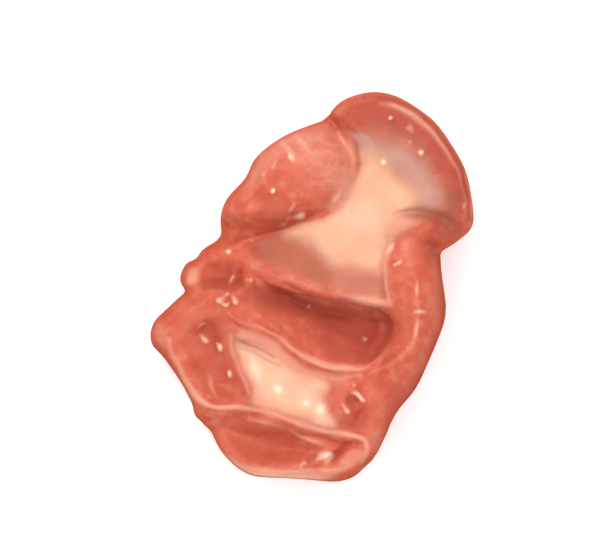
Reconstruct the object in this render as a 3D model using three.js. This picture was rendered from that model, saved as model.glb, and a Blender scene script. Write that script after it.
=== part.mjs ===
// Raw chicken gizzard, opened along its hollow and laid flat with the inside up.
// Millimetres, +Z up, resting on z = 0, the middle of its plan at the origin.
// One solid: soft slabs, a thick band and a dished flap flow into each other,
// and lips, rims and hollows are raised or sunk in the upper face.
import * as THREE from "three";

// Heights of the parts above the table
const HALF_HEIGHT = 14.2;
const FOLD_HEIGHT = 13.4;
const WAIST_HEIGHT = 15.4;
const FLAP_HEIGHT = 20.4;
const LOBE_HEIGHT = 18.4;
const NECK_HEIGHT = 14.0;

// Depths of the hollows and how soon their walls reach the bottom
const LEFT_VALLEY_DEPTH = 1.5;
const LEFT_VALLEY_WALL = 3.6;
const LEFT_PIT_DEPTH = 0.4;
const LEFT_PIT_WALL = 1.6;
const TENDON_DEPTH = 0.35;
const TENDON_WALL = 1.8;
const DISH_STEP_DEPTH = 0.7;
const DISH_STEP_WALL = 0.9;
const DISH_DEPTH = 2.0;
const DISH_WALL = 4.2;
const DISH_INSET = 0.6;

// The waist's fall to the left: its depth, how it grows along X, and where it starts and ends across
const WAIST_FALL = 4.0;
const WAIST_FALL_FROM = 1;
const WAIST_FALL_LENGTH = 14;
const WAIST_FALL_MOST = 1.15;
const WAIST_FALL_TOP = 13;
const WAIST_FALL_TOP_EDGE = 4;
const WAIST_FALL_LOW = -1;
const WAIST_FALL_LOW_EDGE = 3;

// The hollow: a gently sloping shelf behind the lower lip, then a steeper pocket
const HOLLOW_DEPTH = 5.6;
const HOLLOW_WALL = 3.4;
const SHELF_WIDTH = 4.3;
const SHELF_LOSS = 1.4;
const SHELF_SLOPE = 0.42;
const POCKET_SLOPE = 1.2;
const POCKET_JOIN = 3.2;
const FLOOR_JOIN = 2.5;
const WALL_JOIN = 2.6;
const UPPER_LIP_REACH = 1.4;
const LOWER_LIP_REACH = 0.9;

// Spans along X over which the hollow changes: the shelf narrows to the right,
// and the floor, the wall and the upper lip's reach ease off to the left
const SHELF_NARROWS = [4, 10];
const FLOOR_RISES = [-13, -5];
const WALL_EASES = [-12, -4];
const LIP_EASES = [-11, -6];
const LEAST_FLOOR = 0.15;
const LEAST_WALL = 0.25;

// How much rounder the slabs are below than above
const UNDER_TUCK = 1.7;

// Unevenness of the meat
const SIDE_WAVE = 0.3;
const SIDE_WAVE_SIZE = 3.6;
const FACE_WAVE = 0.35;
const FACE_WAVE_SIZE = 2.6;

// Surface cell, and the narrowest ridge it can hold
const CELL = 1.36;
const LEAST_RIDGE = 1.0;
const RELAX_IN = 0.5;
const RELAX_OUT = -0.52;

// Plan lines of the soft slabs
const SLABS = {
  leftHalf: {
    low: -1, high: HALF_HEIGHT, side: 3.2, top: 7.2,
    line: [
      [-20.8, -0.6], [-24.4, -3.4], [-27.1, -6.2], [-27.5, -9.6], [-25.2, -12.4], [-22.7, -15.8],
      [-20.8, -19.6], [-18.7, -23.2], [-8, -26], [8, -24], [13, -14], [13.5, -5], [3, -2.6],
      [-4, 1.4], [-8, 3.4], [-12, 4.0], [-16, 1.0],
    ],
  },
  bottomFold: {
    low: -1, high: FOLD_HEIGHT, side: 2.6, top: 6.8,
    line: [
      [-17.9, -22.6], [-17.2, -24.6], [-15.2, -28.6], [-11.0, -31.7], [-5, -32.6], [1, -33.1],
      [4.9, -33.1], [7.7, -32.1], [9.6, -29.8], [11.5, -27.0], [12, -22], [0, -17], [-12, -17],
    ],
  },
  waist: {
    low: 0, high: WAIST_HEIGHT, side: 2.2, top: 3.6,
    line: [
      [-13.6, 5.0], [-10.6, 8.8], [-3, 11], [3, 15], [7, 21], [14, 19], [17, 11], [14.5, 2],
      [13.4, -3.8], [8, -3.4], [3, -2.5], [-1, -1.4], [-4, -0.1], [-7, 0.7], [-10.5, 1.6],
    ],
  },
  flap: {
    low: -0.5, high: FLAP_HEIGHT, side: 3.6, top: 10.0,
    line: [
      [3.1, 28.0], [3.4, 30.0], [5.6, 31.9], [9.8, 32.9], [14.4, 31.9], [19.0, 29.2], [22.9, 24.8],
      [25.5, 20.3], [26.8, 14.8], [26.8, 10.5], [24.7, 8.1], [21.0, 6.4], [16, 8], [11, 13],
      [6, 21],
    ],
  },
  roundLobe: {
    low: -1, high: LOBE_HEIGHT, side: 6.0, top: 8.2,
    line: [
      [3.2, 27.9], [6.8, 25.7], [8.8, 21.2], [7.7, 17.0], [4.6, 12.6], [-3.8, 9.3], [-9.8, 7.4],
      [-14.4, 6.8], [-15.6, 10.5], [-14.4, 14.7], [-11.2, 18.4], [-9.4, 22.0], [-4.7, 25.7],
      [0.4, 27.6],
    ],
  },
  neck: {
    low: -0.5, high: NECK_HEIGHT, side: 3.0, top: 6.4,
    line: [
      [-21.9, -0.3], [-22.8, 1.7], [-21.9, 4.0], [-20.2, 5.0], [-18.8, 6.7], [-16.0, 8.1],
      [-12.5, 8], [-9, 4], [-12, -2], [-18, -3],
    ],
  },
};

// Thick band round the right side: x, y, z, radius
const BAND_TALL = 1.6;
const BAND = [
  [15.4, 9.2, 9.8, 3.2], [16.8, 6.2, 10.0, 4.3], [17.0, 2, 10.2, 4.8], [17.6, -3, 10.2, 4.9],
  [17.1, -7.5, 9.9, 4.3], [15.7, -11, 9.5, 4.3], [13.8, -15, 9.1, 4.2], [11.2, -19, 8.5, 3.9],
  [9.0, -24, 7.9, 3.6], [7.0, -26.8, 7.2, 4.2],
];

// Ellipsoids: the floor of the hollow, the dish of the flap, and the undercut of the upper lip
const HOLLOW_FLOOR = { centre: [1, -4, 2], radii: [18, 13, 7.6], turn: 0, tip: 0 };
const FLAP_DISH = { centre: [10.2, 15.2, 24.6], radii: [14.2, 12.6, 9.0], turn: -47, tip: 17 };
const UNDERCUT = { centre: [4.8, -3.2, 11.2], radii: [9.2, 2.3, 2.1], turn: -13, tip: 0 };

// Sunken areas of the upper face
const LEFT_VALLEY = [
  [-18.5, -4.5], [-16, -5], [-14.6, -8], [-13.3, -12], [-11.6, -15.5], [-10.4, -18], [-10.9, -19.6],
  [-14, -19.7], [-17.2, -19.0], [-19.4, -17.0], [-21.4, -13.6], [-22.6, -10.4], [-21.8, -7],
];
const LEFT_PIT = [
  [-19.0, -5.2], [-16.4, -5.4], [-15.2, -8], [-15.6, -10.6], [-17.6, -11.2], [-19.4, -8.6],
];
const LOWER_TENDON = [
  [-13.8, -7.4], [-12, -6.9], [-9, -7.9], [-6, -9.4], [-3, -11.8], [0, -13.7], [3, -14.9],
  [4.4, -17], [4.4, -20], [4.6, -23.0], [2, -23.2], [-2, -22.2], [-6, -20.7], [-9.6, -19.9],
  [-10.6, -17.5], [-11.7, -15], [-13.2, -11.5],
];
const BOTTOM_DISH = [
  [-18.4, -22.2], [-12, -20.9], [-8, -21.5], [-4, -23.0], [0, -24.5], [4, -25.4], [6.6, -26.0],
  [3.8, -28.8], [1.6, -30.2], [-3, -31.3], [-8, -31.3], [-12, -29.8], [-15.5, -27.0],
  [-17.6, -24.2],
];
const HOLLOW_RIGHT_END = [[13.5, -5.8], [13.5, -8], [12, -10.6], [9.6, -12.7]];
const HOLLOW_LEFT_END = [[-13.2, -3.2]];

// Raised lips and rims, and creases where the height is below zero: x, y, width, height
const UPPER_LIP = [
  [-12.5, 2.6, 0.9, 0.2], [-10, 2.2, 1.1, 0.3], [-7, 1.7, 1.0, 0.5], [-4, 1.0, 0.9, 0.6],
  [-1, -0.3, 0.9, 0.6], [3, -1.4, 0.8, 0.6], [7, -2.1, 0.8, 0.6], [12, -2.9, 0.7, 0.5],
];
const LOWER_LIP = [
  [-14, -4.8, 0.5, 0.4], [-12, -5.9, 0.6, 0.8], [-9, -6.8, 0.6, 0.9], [-6, -8.2, 0.7, 1.0],
  [-3.5, -10.3, 0.7, 1.0], [-1, -12.2, 0.6, 1.0], [2, -13.4, 0.5, 0.9], [6, -13.9, 0.5, 0.8],
  [9, -13.6, 0.5, 0.4],
];
const LEFT_RIM = [
  [-25.6, -7.0, 0.8, 0.4], [-24.6, -9.6, 0.8, 0.7], [-22.6, -13.4, 0.9, 0.9],
  [-20.8, -16.9, 0.9, 1.0], [-18.5, -19.3, 0.9, 1.0], [-15.5, -20.3, 0.8, 0.8],
  [-11, -20.3, 0.7, 0.7], [-7, -21.2, 0.7, 0.7], [-3, -22.7, 0.7, 0.7], [1, -24.0, 0.8, 0.8],
  [5, -24.6, 0.8, 0.9], [8, -25.2, 0.9, 1.0],
];
const SECOND_RIM = [
  [-12, -21.9, 0.4, 0.3], [-9, -22.2, 0.5, 0.7], [-5, -23.3, 0.5, 0.7], [-1.5, -25.2, 0.5, 0.7],
  [1.5, -26.8, 0.5, 0.5],
];
const FLAP_RIM = [
  [9.7, 31.0, 0.6, 0.2], [12.1, 30.5, 0.6, 0.7], [14.0, 30.0, 0.6, 0.9], [15.9, 28.8, 0.6, 0.9],
  [18.0, 27.3, 0.6, 0.9], [19.8, 25.6, 0.6, 0.9], [21.4, 23.6, 0.6, 0.9], [22.8, 21.6, 0.6, 0.9],
  [24.0, 19.4, 0.6, 0.8], [24.6, 16.6, 0.6, 0.7], [25.0, 13.2, 0.7, 0.8], [24.8, 10.4, 0.8, 0.8],
  [23.1, 8.7, 0.8, 0.3],
];
const FLAP_FOLD = [
  [13.4, 11.7, 0.6, -0.4], [15.4, 12.3, 0.6, -1.0], [17.8, 12.5, 0.6, -1.3], [20, 12.0, 0.7, -1.4],
  [22.5, 10.6, 1.0, -1.2],
];
const BAND_CREST = [
  [17.0, 3.0, 0.8, 0.2], [17.2, -1, 0.9, 0.5], [17.5, -5, 0.9, 0.5], [17.0, -8.5, 0.9, 0.5],
  [15.6, -11, 0.8, 0.5], [12.8, -13, 0.8, 0.5], [9.5, -14.6, 0.6, 0.4],
];
const BAND_EDGE = [[12.1, 6.0, 0.5, 0.3], [12.2, 2, 0.4, 0.4], [12.4, -2.4, 0.4, 0.4]];
const LOBE_CREASE = [
  [3.4, 28.2, 0.5, -0.8], [5.6, 26.7, 0.5, -0.7], [7.6, 24.0, 0.5, -0.5], [8.3, 21.2, 0.5, -0.5],
  [7.7, 18.0, 0.5, -0.4], [5.8, 14.4, 0.5, -0.3], [2.4, 11.6, 0.5, -0.15], [-3, 10.1, 0.5, -0.1],
];
const CURL_SLIT = [
  [7.6, -26.4, 0.5, -0.4], [6.0, -26.8, 0.6, -1.5], [4.4, -27.8, 0.6, -2.0],
  [3.2, -29.2, 0.6, -1.6], [1.8, -29.8, 0.5, -0.6],
];
const CURL_RIM = [
  [8.8, -26.0, 1.2, 0.8], [9.2, -28.0, 1.3, 1.2], [7.6, -30.0, 1.4, 1.2], [4.6, -31.2, 1.2, 1.0],
  [1.0, -31.4, 1.0, 0.6], [-4, -31.3, 0.8, 0.5], [-9, -30.7, 0.8, 0.5], [-13.5, -28.4, 0.8, 0.4],
];
const TENDON_EDGE = [
  [-14.2, -7.0, 0.6, 0.3], [-13.4, -11, 0.6, 0.5], [-11.8, -15, 0.6, 0.5], [-10.4, -18, 0.6, 0.3],
];
const LUMP_FOLD = [[6.4, -17.3, 0.6, 0.7], [7.5, -17.7, 0.6, 1.0], [8.3, -19.0, 0.6, 0.7]];
const LUMP_HOLLOW = [[8.4, -21.5, 1.3, -0.8], [7.6, -24.0, 1.0, -0.5]];
const NECK_HOLE = [[-12.7, 1.4, 0.6, -0.6], [-12.4, 2.3, 0.7, -1.1], [-12.2, 3.0, 0.6, -0.6]];

// Soft rises and dips: x, y, radius, height
const MOUNDS = [
  [1.0, 21.5, 5.0, 1.0], [-8.5, 12.0, 3.2, -1.4], [-12.0, 16.0, 3.0, -1.4], [2.5, 14.2, 3.4, -0.8],
  [-20.3, 1.9, 2.1, 1.4], [-16.8, 5.4, 2.2, 1.0], [-18.0, 3.2, 1.0, -0.7], [-17.9, 0.2, 1.0, -0.6],
];

function clamp(value, low, high) {
  return Math.min(Math.max(value, low), high);
}

// Share of the way along a span, 0 before it and 1 after
function share(value, [start, end]) {
  return clamp((value - start) / (end - start), 0, 1);
}

// Smooth line through points of any number of values, open or as a ring
function curve(points, ring = false) {
  const steps = 4;
  const count = points.length;
  const at = (i) => {
    if (ring) return points[(i + count) % count];
    if (i < 0) return points[0].map((v, k) => 2 * v - points[1][k]);
    if (i >= count) return points[count - 1].map((v, k) => 2 * v - points[count - 2][k]);
    return points[i];
  };
  const line = [];
  const spans = ring ? count : count - 1;
  for (let i = 0; i < spans; i++) {
    const [a, b, c, d] = [at(i - 1), at(i), at(i + 1), at(i + 2)];
    for (let s = 0; s < steps; s++) {
      const t = s / steps;
      line.push(b.map((_, k) => {
        const bend = (2 * a[k] - 5 * b[k] + 4 * c[k] - d[k]) * t * t;
        const twist = (3 * b[k] - a[k] - 3 * c[k] + d[k]) * t * t * t;
        return 0.5 * (2 * b[k] + (c[k] - a[k]) * t + bend + twist);
      }));
    }
  }
  line.push(ring ? line[0] : points[count - 1]);
  return line;
}

// Nearest distance in plan from a point to a line, with the line's further values there
function lineDistance(x, y, line) {
  let best = Infinity;
  let values = [];
  for (let i = 0; i + 1 < line.length; i++) {
    const [a, b] = [line[i], line[i + 1]];
    const dx = b[0] - a[0];
    const dy = b[1] - a[1];
    const t = clamp(((x - a[0]) * dx + (y - a[1]) * dy) / Math.max(dx * dx + dy * dy, 1e-9), 0, 1);
    const distance = Math.hypot(x - a[0] - t * dx, y - a[1] - t * dy);
    if (distance < best) {
      best = distance;
      values = a.slice(2).map((v, k) => v + t * (b[k + 2] - v));
    }
  }
  return { distance: best, values };
}

// How far a point lies inside a ring, negative outside
function insideRing(x, y, ring) {
  const { distance } = lineDistance(x, y, ring);
  let within = false;
  for (let i = 0; i + 1 < ring.length; i++) {
    const [a, b] = [ring[i], ring[i + 1]];
    const spans = a[1] > y !== b[1] > y;
    if (spans && x < ((b[0] - a[0]) * (y - a[1])) / (b[1] - a[1]) + a[0]) within = !within;
  }
  return within ? distance : -distance;
}

function ridge(x, y, line) {
  const { distance, values } = lineDistance(x, y, line);
  const [width, height] = values;
  const spread = Math.max(width, LEAST_RIDGE);
  return ((height * width) / spread) * Math.exp(-((distance / spread) ** 2));
}

function sink(within, depth, wall) {
  const t = clamp(within / wall, 0, 1);
  return depth * t * t * (3 - 2 * t);
}

function mound(x, y, [cx, cy, radius, height]) {
  return height * Math.exp(-((x - cx) ** 2 + (y - cy) ** 2) / radius ** 2);
}

// Smooth uneven wave between about -1 and 1
function waves(x, y, z, size, phase) {
  const [a, b, c] = [x / size, y / size, z / size];
  const one = Math.sin(1.7 * a + 0.9 * b + 0.6 * c + phase);
  const two = Math.sin(-1.1 * a + 1.9 * b + 0.8 * c + 2.1 * phase);
  const three = Math.sin(0.7 * a - 1.2 * b + 2.1 * c + 3.3 * phase);
  return (one + two + three) / 3;
}

// Smooth union, and smooth cut of b from a
function join(a, b, blend) {
  const near = Math.max(blend - Math.abs(a - b), 0) / blend;
  return Math.min(a, b) - near * near * blend * 0.25;
}

function carve(a, b, blend) {
  return -join(-a, b, blend);
}

const slabRings = {};
for (const name in SLABS) slabRings[name] = curve(SLABS[name].line, true);
const bandLine = curve(BAND);
const raised = [
  UPPER_LIP, LOWER_LIP, LEFT_RIM, SECOND_RIM, FLAP_RIM, FLAP_FOLD, BAND_CREST, BAND_EDGE, LOBE_CREASE,
  CURL_SLIT, CURL_RIM, TENDON_EDGE, LUMP_FOLD, LUMP_HOLLOW, NECK_HOLE,
].map((line) => curve(line));
const sunk = [
  [curve(LEFT_VALLEY, true), LEFT_VALLEY_DEPTH, LEFT_VALLEY_WALL],
  [curve(LEFT_PIT, true), LEFT_PIT_DEPTH, LEFT_PIT_WALL],
  [curve(LOWER_TENDON, true), TENDON_DEPTH, TENDON_WALL],
];
const dishRing = curve(BOTTOM_DISH, true);
const lipReach = (x) => UPPER_LIP_REACH * share(x, LIP_EASES);
const belowUpperLip = UPPER_LIP.slice(1).map(([x, y]) => [x, y - lipReach(x)]);
const aboveLowerLip = LOWER_LIP.slice(1, -1).map(([x, y]) => [x, y + LOWER_LIP_REACH]);
const hollowFloor = curve(aboveLowerLip);
const hollowRing = curve(
  [...belowUpperLip, ...HOLLOW_RIGHT_END, ...[...aboveLowerLip].reverse(), ...HOLLOW_LEFT_END],
  true,
);

// The hollow falls from the lower lip to its deepest line under the upper lip
function hollow(x, y) {
  const within = insideRing(x, y, hollowRing);
  if (within <= 0) return 0;
  const fromLip = lineDistance(x, y, hollowFloor).distance;
  const shelf = SHELF_WIDTH - SHELF_LOSS * share(x, SHELF_NARROWS);
  const pocket = SHELF_SLOPE * shelf + POCKET_SLOPE * (fromLip - shelf);
  const fall = -join(-SHELF_SLOPE * fromLip, -pocket, POCKET_JOIN);
  const depth = join(fall, HOLLOW_DEPTH, FLOOR_JOIN) * Math.max(share(x, FLOOR_RISES), LEAST_FLOOR);
  const wall = HOLLOW_WALL * Math.max(share(x, WALL_EASES), LEAST_WALL) * within;
  return Math.max(join(depth, wall, WALL_JOIN), 0);
}

// The waist falls away to the left, toward the neck
function waistFall(x, y) {
  const left = clamp((WAIST_FALL_FROM - x) / WAIST_FALL_LENGTH, 0, WAIST_FALL_MOST);
  const fromTop = sink(WAIST_FALL_TOP - y, 1, WAIST_FALL_TOP_EDGE);
  return WAIST_FALL * left * fromTop * sink(y - WAIST_FALL_LOW, 1, WAIST_FALL_LOW_EDGE);
}

// How much the upper face is raised or sunk over a plan point
function relief(x, y) {
  let height = -hollow(x, y) - waistFall(x, y);
  for (const spot of MOUNDS) height += mound(x, y, spot);
  for (const line of raised) height += ridge(x, y, line);
  for (const [ring, depth, wall] of sunk) height -= sink(insideRing(x, y, ring), depth, wall);
  const inDish = insideRing(x, y, dishRing);
  const step = sink(inDish, DISH_STEP_DEPTH, DISH_STEP_WALL);
  return height - step - sink(inDish - DISH_INSET, DISH_DEPTH, DISH_WALL);
}

function slabField(within, z, slab) {
  const half = (slab.high - slab.low) / 2;
  const middle = (slab.high + slab.low) / 2;
  const across = 1 - within / (slab.side * (1 + UNDER_TUCK * clamp((middle - z) / half, 0, 1)));
  const up = (Math.abs(z - middle) - half) / slab.top + 1;
  const outside = Math.hypot(Math.max(across, 0), Math.max(up, 0));
  return (Math.min(Math.max(across, up), 0) + outside - 1) * slab.side;
}

// Ellipsoid turned about Z and tipped about its own X
function lobeField(px, py, pz, { centre, radii, turn, tip }) {
  const [ct, st] = [Math.cos((turn * Math.PI) / 180), Math.sin((turn * Math.PI) / 180)];
  const [cp, sp] = [Math.cos((tip * Math.PI) / 180), Math.sin((tip * Math.PI) / 180)];
  const [dx, dy, dz] = [px - centre[0], py - centre[1], pz - centre[2]];
  const x = ct * dx + st * dy;
  const flatY = -st * dx + ct * dy;
  const y = cp * flatY + sp * dz;
  const z = -sp * flatY + cp * dz;
  const [a, b, c] = radii;
  const reach = Math.hypot(x / a, y / b, z / c) + 1e-6;
  const slope = Math.hypot(x / a ** 2, y / b ** 2, z / c ** 2) / reach;
  return (reach - 1) / Math.max(slope, 1e-4);
}

function bandField(x, y, z) {
  let best = Infinity;
  for (let i = 0; i + 1 < bandLine.length; i++) {
    const [a, b] = [bandLine[i], bandLine[i + 1]];
    const [dx, dy, dz] = [b[0] - a[0], b[1] - a[1], (b[2] - a[2]) / BAND_TALL];
    const [px, py, pz] = [x - a[0], y - a[1], (z - a[2]) / BAND_TALL];
    const t = clamp((px * dx + py * dy + pz * dz) / (dx * dx + dy * dy + dz * dz), 0, 1);
    const distance = Math.hypot(px - t * dx, py - t * dy, pz - t * dz);
    best = Math.min(best, distance - a[3] - t * (b[3] - a[3]));
  }
  return best;
}

// Everything that depends on the plan point alone
function planOf(x, y) {
  const wx = x + SIDE_WAVE * waves(x, y, 0, SIDE_WAVE_SIZE, 1);
  const wy = y + SIDE_WAVE * waves(x, y, 0, SIDE_WAVE_SIZE, 2);
  const within = {};
  for (const name in slabRings) within[name] = insideRing(wx, wy, slabRings[name]);
  return { wx, wy, within, raise: relief(x, y) };
}

// Signed field of the whole piece, negative inside the meat
function meat(plan, height) {
  const { wx, wy, within, raise } = plan;
  const sunkZ = height - raise * clamp((height - 2) / 5, 0, 1);
  const z = sunkZ + FACE_WAVE * waves(plan.x, plan.y, sunkZ, FACE_WAVE_SIZE, 4);
  const slab = (name) => slabField(within[name], z, SLABS[name]);

  let lower = join(slab("leftHalf"), slab("bottomFold"), 1.0);
  lower = join(lower, lobeField(wx, wy, z, HOLLOW_FLOOR), 1.0);

  const flap = carve(slab("flap"), lobeField(wx, wy, z, FLAP_DISH), 1.5);
  let upper = join(slab("waist"), bandField(wx, wy, z), 3.2);
  upper = join(upper, flap, 1.5);

  let whole = join(lower, upper, 1.0 + 0.25 * clamp(-3 - plan.x, 0, 8));
  whole = join(whole, slab("roundLobe"), 1.0 + 0.2 * clamp(14 - z, 0, 10));
  whole = join(whole, slab("neck"), 1.0 + 0.2 * clamp(plan.x + 20, 0, 8));
  whole = carve(whole, lobeField(wx, wy, height, UNDERCUT), 0.8);
  return carve(whole, height, 1.0);
}

// Corners of a cell, opposite ones at places that add up to 7
const CORNERS = [0, 1, 2, 3, 4, 5, 6, 7].map((n) => [n & 1, (n >> 1) & 1, (n >> 2) & 1]);

// Field at the corners of a grid of cells round the piece
function sampleGrid(low, high) {
  const size = low.map((v, i) => Math.ceil((high[i] - v) / CELL) + 1);
  const values = new Float64Array(size[0] * size[1] * size[2]);
  for (let i = 0; i < size[0]; i++)
    for (let j = 0; j < size[1]; j++) {
      const [x, y] = [low[0] + i * CELL, low[1] + j * CELL];
      const plan = { x, y, ...planOf(x, y) };
      const first = (i * size[1] + j) * size[2];
      for (let k = 0; k < size[2]; k++) values[first + k] = meat(plan, low[2] + k * CELL);
    }
  return { size, values };
}

// Turns a corner over where two bodies of meat or of air would touch along a cell's diagonal
function untangle({ size, values }) {
  const step = [size[1] * size[2], size[2], 1];
  const cellCorners = CORNERS.map((corner) => corner.reduce((sum, v, axis) => sum + v * step[axis], 0));
  const turnSmallest = (corners) => {
    const weakest = corners.reduce((a, b) => (Math.abs(values[a]) < Math.abs(values[b]) ? a : b));
    values[weakest] = values[weakest] < 0 ? 0.01 : -0.01;
  };
  let turned = 0;
  for (let i = 0; i + 1 < size[0]; i++)
    for (let j = 0; j + 1 < size[1]; j++)
      for (let k = 0; k + 1 < size[2]; k++) {
        const here = i * step[0] + j * step[1] + k;
        for (let axis = 0; axis < 3; axis++) {
          const [u, w] = [step[(axis + 1) % 3], step[(axis + 2) % 3]];
          const face = [here, here + u, here + u + w, here + w];
          const [a, b, c, d] = face.map((corner) => values[corner] < 0);
          if (a !== c || b !== d || a === b) continue;
          turnSmallest(face);
          turned++;
        }
        const cell = cellCorners.map((corner) => here + corner);
        const filled = cell.filter((corner) => values[corner] < 0);
        const pair = filled.length === 6 ? cell.filter((corner) => values[corner] >= 0) : filled;
        if (pair.length === 2 && cell.indexOf(pair[0]) + cell.indexOf(pair[1]) === 7) {
          turnSmallest(pair);
          turned++;
        }
      }
  return turned;
}

// One vertex in each cell that the surface crosses, at the mean of the crossings on its edges
function cellVertices({ size, values }, low) {
  const at = (i, j, k) => values[(i * size[1] + j) * size[2] + k];
  const index = new Map();
  const vertices = [];
  for (let i = 0; i + 1 < size[0]; i++)
    for (let j = 0; j + 1 < size[1]; j++)
      for (let k = 0; k + 1 < size[2]; k++) {
        const sum = [0, 0, 0];
        let crossings = 0;
        for (let n = 0; n < 8; n++)
          for (let axis = 0; axis < 3; axis++) {
            const a = CORNERS[n];
            if (a[axis]) continue;
            const b = a.map((v, m) => (m === axis ? 1 : v));
            const fa = at(i + a[0], j + a[1], k + a[2]);
            const fb = at(i + b[0], j + b[1], k + b[2]);
            if (fa < 0 === fb < 0) continue;
            for (let m = 0; m < 3; m++) sum[m] += m === axis ? fa / (fa - fb) : a[m];
            crossings++;
          }
        if (!crossings) continue;
        index.set((i * size[1] + j) * size[2] + k, vertices.length);
        vertices.push([i, j, k].map((v, m) => low[m] + (v + sum[m] / crossings) * CELL));
      }
  return { index, vertices };
}

// Four cells meet at every grid edge that the surface crosses: two triangles close them
function triangles({ size, values }, index, vertices) {
  const offset = [size[1] * size[2], size[2], 1];
  const faces = [];
  const distance = (a, b) => Math.hypot(...vertices[a].map((v, m) => v - vertices[b][m]));
  for (let i = 1; i + 1 < size[0]; i++)
    for (let j = 1; j + 1 < size[1]; j++)
      for (let k = 0; k + 1 < size[2]; k++)
        for (let axis = 0; axis < 3; axis++) {
          if (axis < 2 && k === 0) continue;
          const here = i * offset[0] + j * offset[1] + k;
          const [fa, fb] = [values[here], values[here + offset[axis]]];
          if (fa < 0 === fb < 0) continue;
          const [u, w] = [offset[(axis + 1) % 3], offset[(axis + 2) % 3]];
          let quad = [here, here - u, here - u - w, here - w].map((cell) => index.get(cell));
          if (fa >= 0) quad = quad.reverse();
          const [a, b, c, d] = quad;
          if (distance(a, c) < distance(b, d)) faces.push(a, b, c, a, c, d);
          else faces.push(a, b, d, b, c, d);
        }
  return faces;
}

// Evens out the steps that the cells leave, first inward and then outward so the piece keeps its size
function relax(vertices, faces) {
  const neighbours = vertices.map(() => new Set());
  for (let f = 0; f < faces.length; f += 3)
    for (let n = 0; n < 3; n++) {
      const [a, b] = [faces[f + n], faces[f + ((n + 1) % 3)]];
      neighbours[a].add(b);
      neighbours[b].add(a);
    }
  for (const pull of [RELAX_IN, RELAX_OUT, RELAX_IN, RELAX_OUT]) {
    const moved = vertices.map((vertex, n) => {
      const mean = [0, 0, 0];
      for (const m of neighbours[n]) for (let axis = 0; axis < 3; axis++) mean[axis] += vertices[m][axis];
      return vertex.map((v, axis) => v + pull * (mean[axis] / neighbours[n].size - v));
    });
    moved.forEach((vertex, n) => {
      vertices[n] = vertex;
    });
  }
}

// The surface of the piece as one closed mesh, its plan centred on the origin
function gizzardGeometry() {
  const low = [-29.3, -35.2, -1.9];
  const high = [29.3, 35.2, 23.5];
  const grid = sampleGrid(low, high);
  while (untangle(grid));
  const { index, vertices } = cellVertices(grid, low);
  const faces = triangles(grid, index, vertices);
  relax(vertices, faces);
  const geometry = new THREE.BufferGeometry();
  geometry.setAttribute("position", new THREE.Float32BufferAttribute(vertices.flat(), 3));
  geometry.setIndex(faces);
  geometry.computeBoundingBox();
  const centre = geometry.boundingBox.getCenter(new THREE.Vector3());
  geometry.translate(-centre.x, -centre.y, -geometry.boundingBox.min.z);
  geometry.computeVertexNormals();
  return geometry;
}

const flesh = new THREE.MeshStandardMaterial({ color: 0xd8705a, roughness: 0.35, metalness: 0 });
const gizzard = new THREE.Mesh(gizzardGeometry(), flesh);
gizzard.name = "gizzard";

const group = new THREE.Group();
group.name = "raw chicken gizzard";
group.add(gizzard);

export default group;
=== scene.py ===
import math

import bpy
import numpy as np
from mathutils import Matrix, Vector


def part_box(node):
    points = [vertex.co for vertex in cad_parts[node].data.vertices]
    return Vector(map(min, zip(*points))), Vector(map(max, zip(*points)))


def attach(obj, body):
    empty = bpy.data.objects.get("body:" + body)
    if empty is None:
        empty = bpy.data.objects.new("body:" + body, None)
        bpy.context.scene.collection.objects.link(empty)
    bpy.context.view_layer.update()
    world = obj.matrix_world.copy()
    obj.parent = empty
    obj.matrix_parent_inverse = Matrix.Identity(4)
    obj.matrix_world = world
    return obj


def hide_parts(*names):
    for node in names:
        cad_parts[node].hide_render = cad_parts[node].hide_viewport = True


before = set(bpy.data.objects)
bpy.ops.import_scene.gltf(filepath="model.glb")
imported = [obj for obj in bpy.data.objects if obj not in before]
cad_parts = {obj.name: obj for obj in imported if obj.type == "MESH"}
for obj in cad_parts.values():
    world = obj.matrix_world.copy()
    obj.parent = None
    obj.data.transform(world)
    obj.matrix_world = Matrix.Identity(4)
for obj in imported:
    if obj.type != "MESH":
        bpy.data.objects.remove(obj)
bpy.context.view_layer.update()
print("frame loaded")


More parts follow.
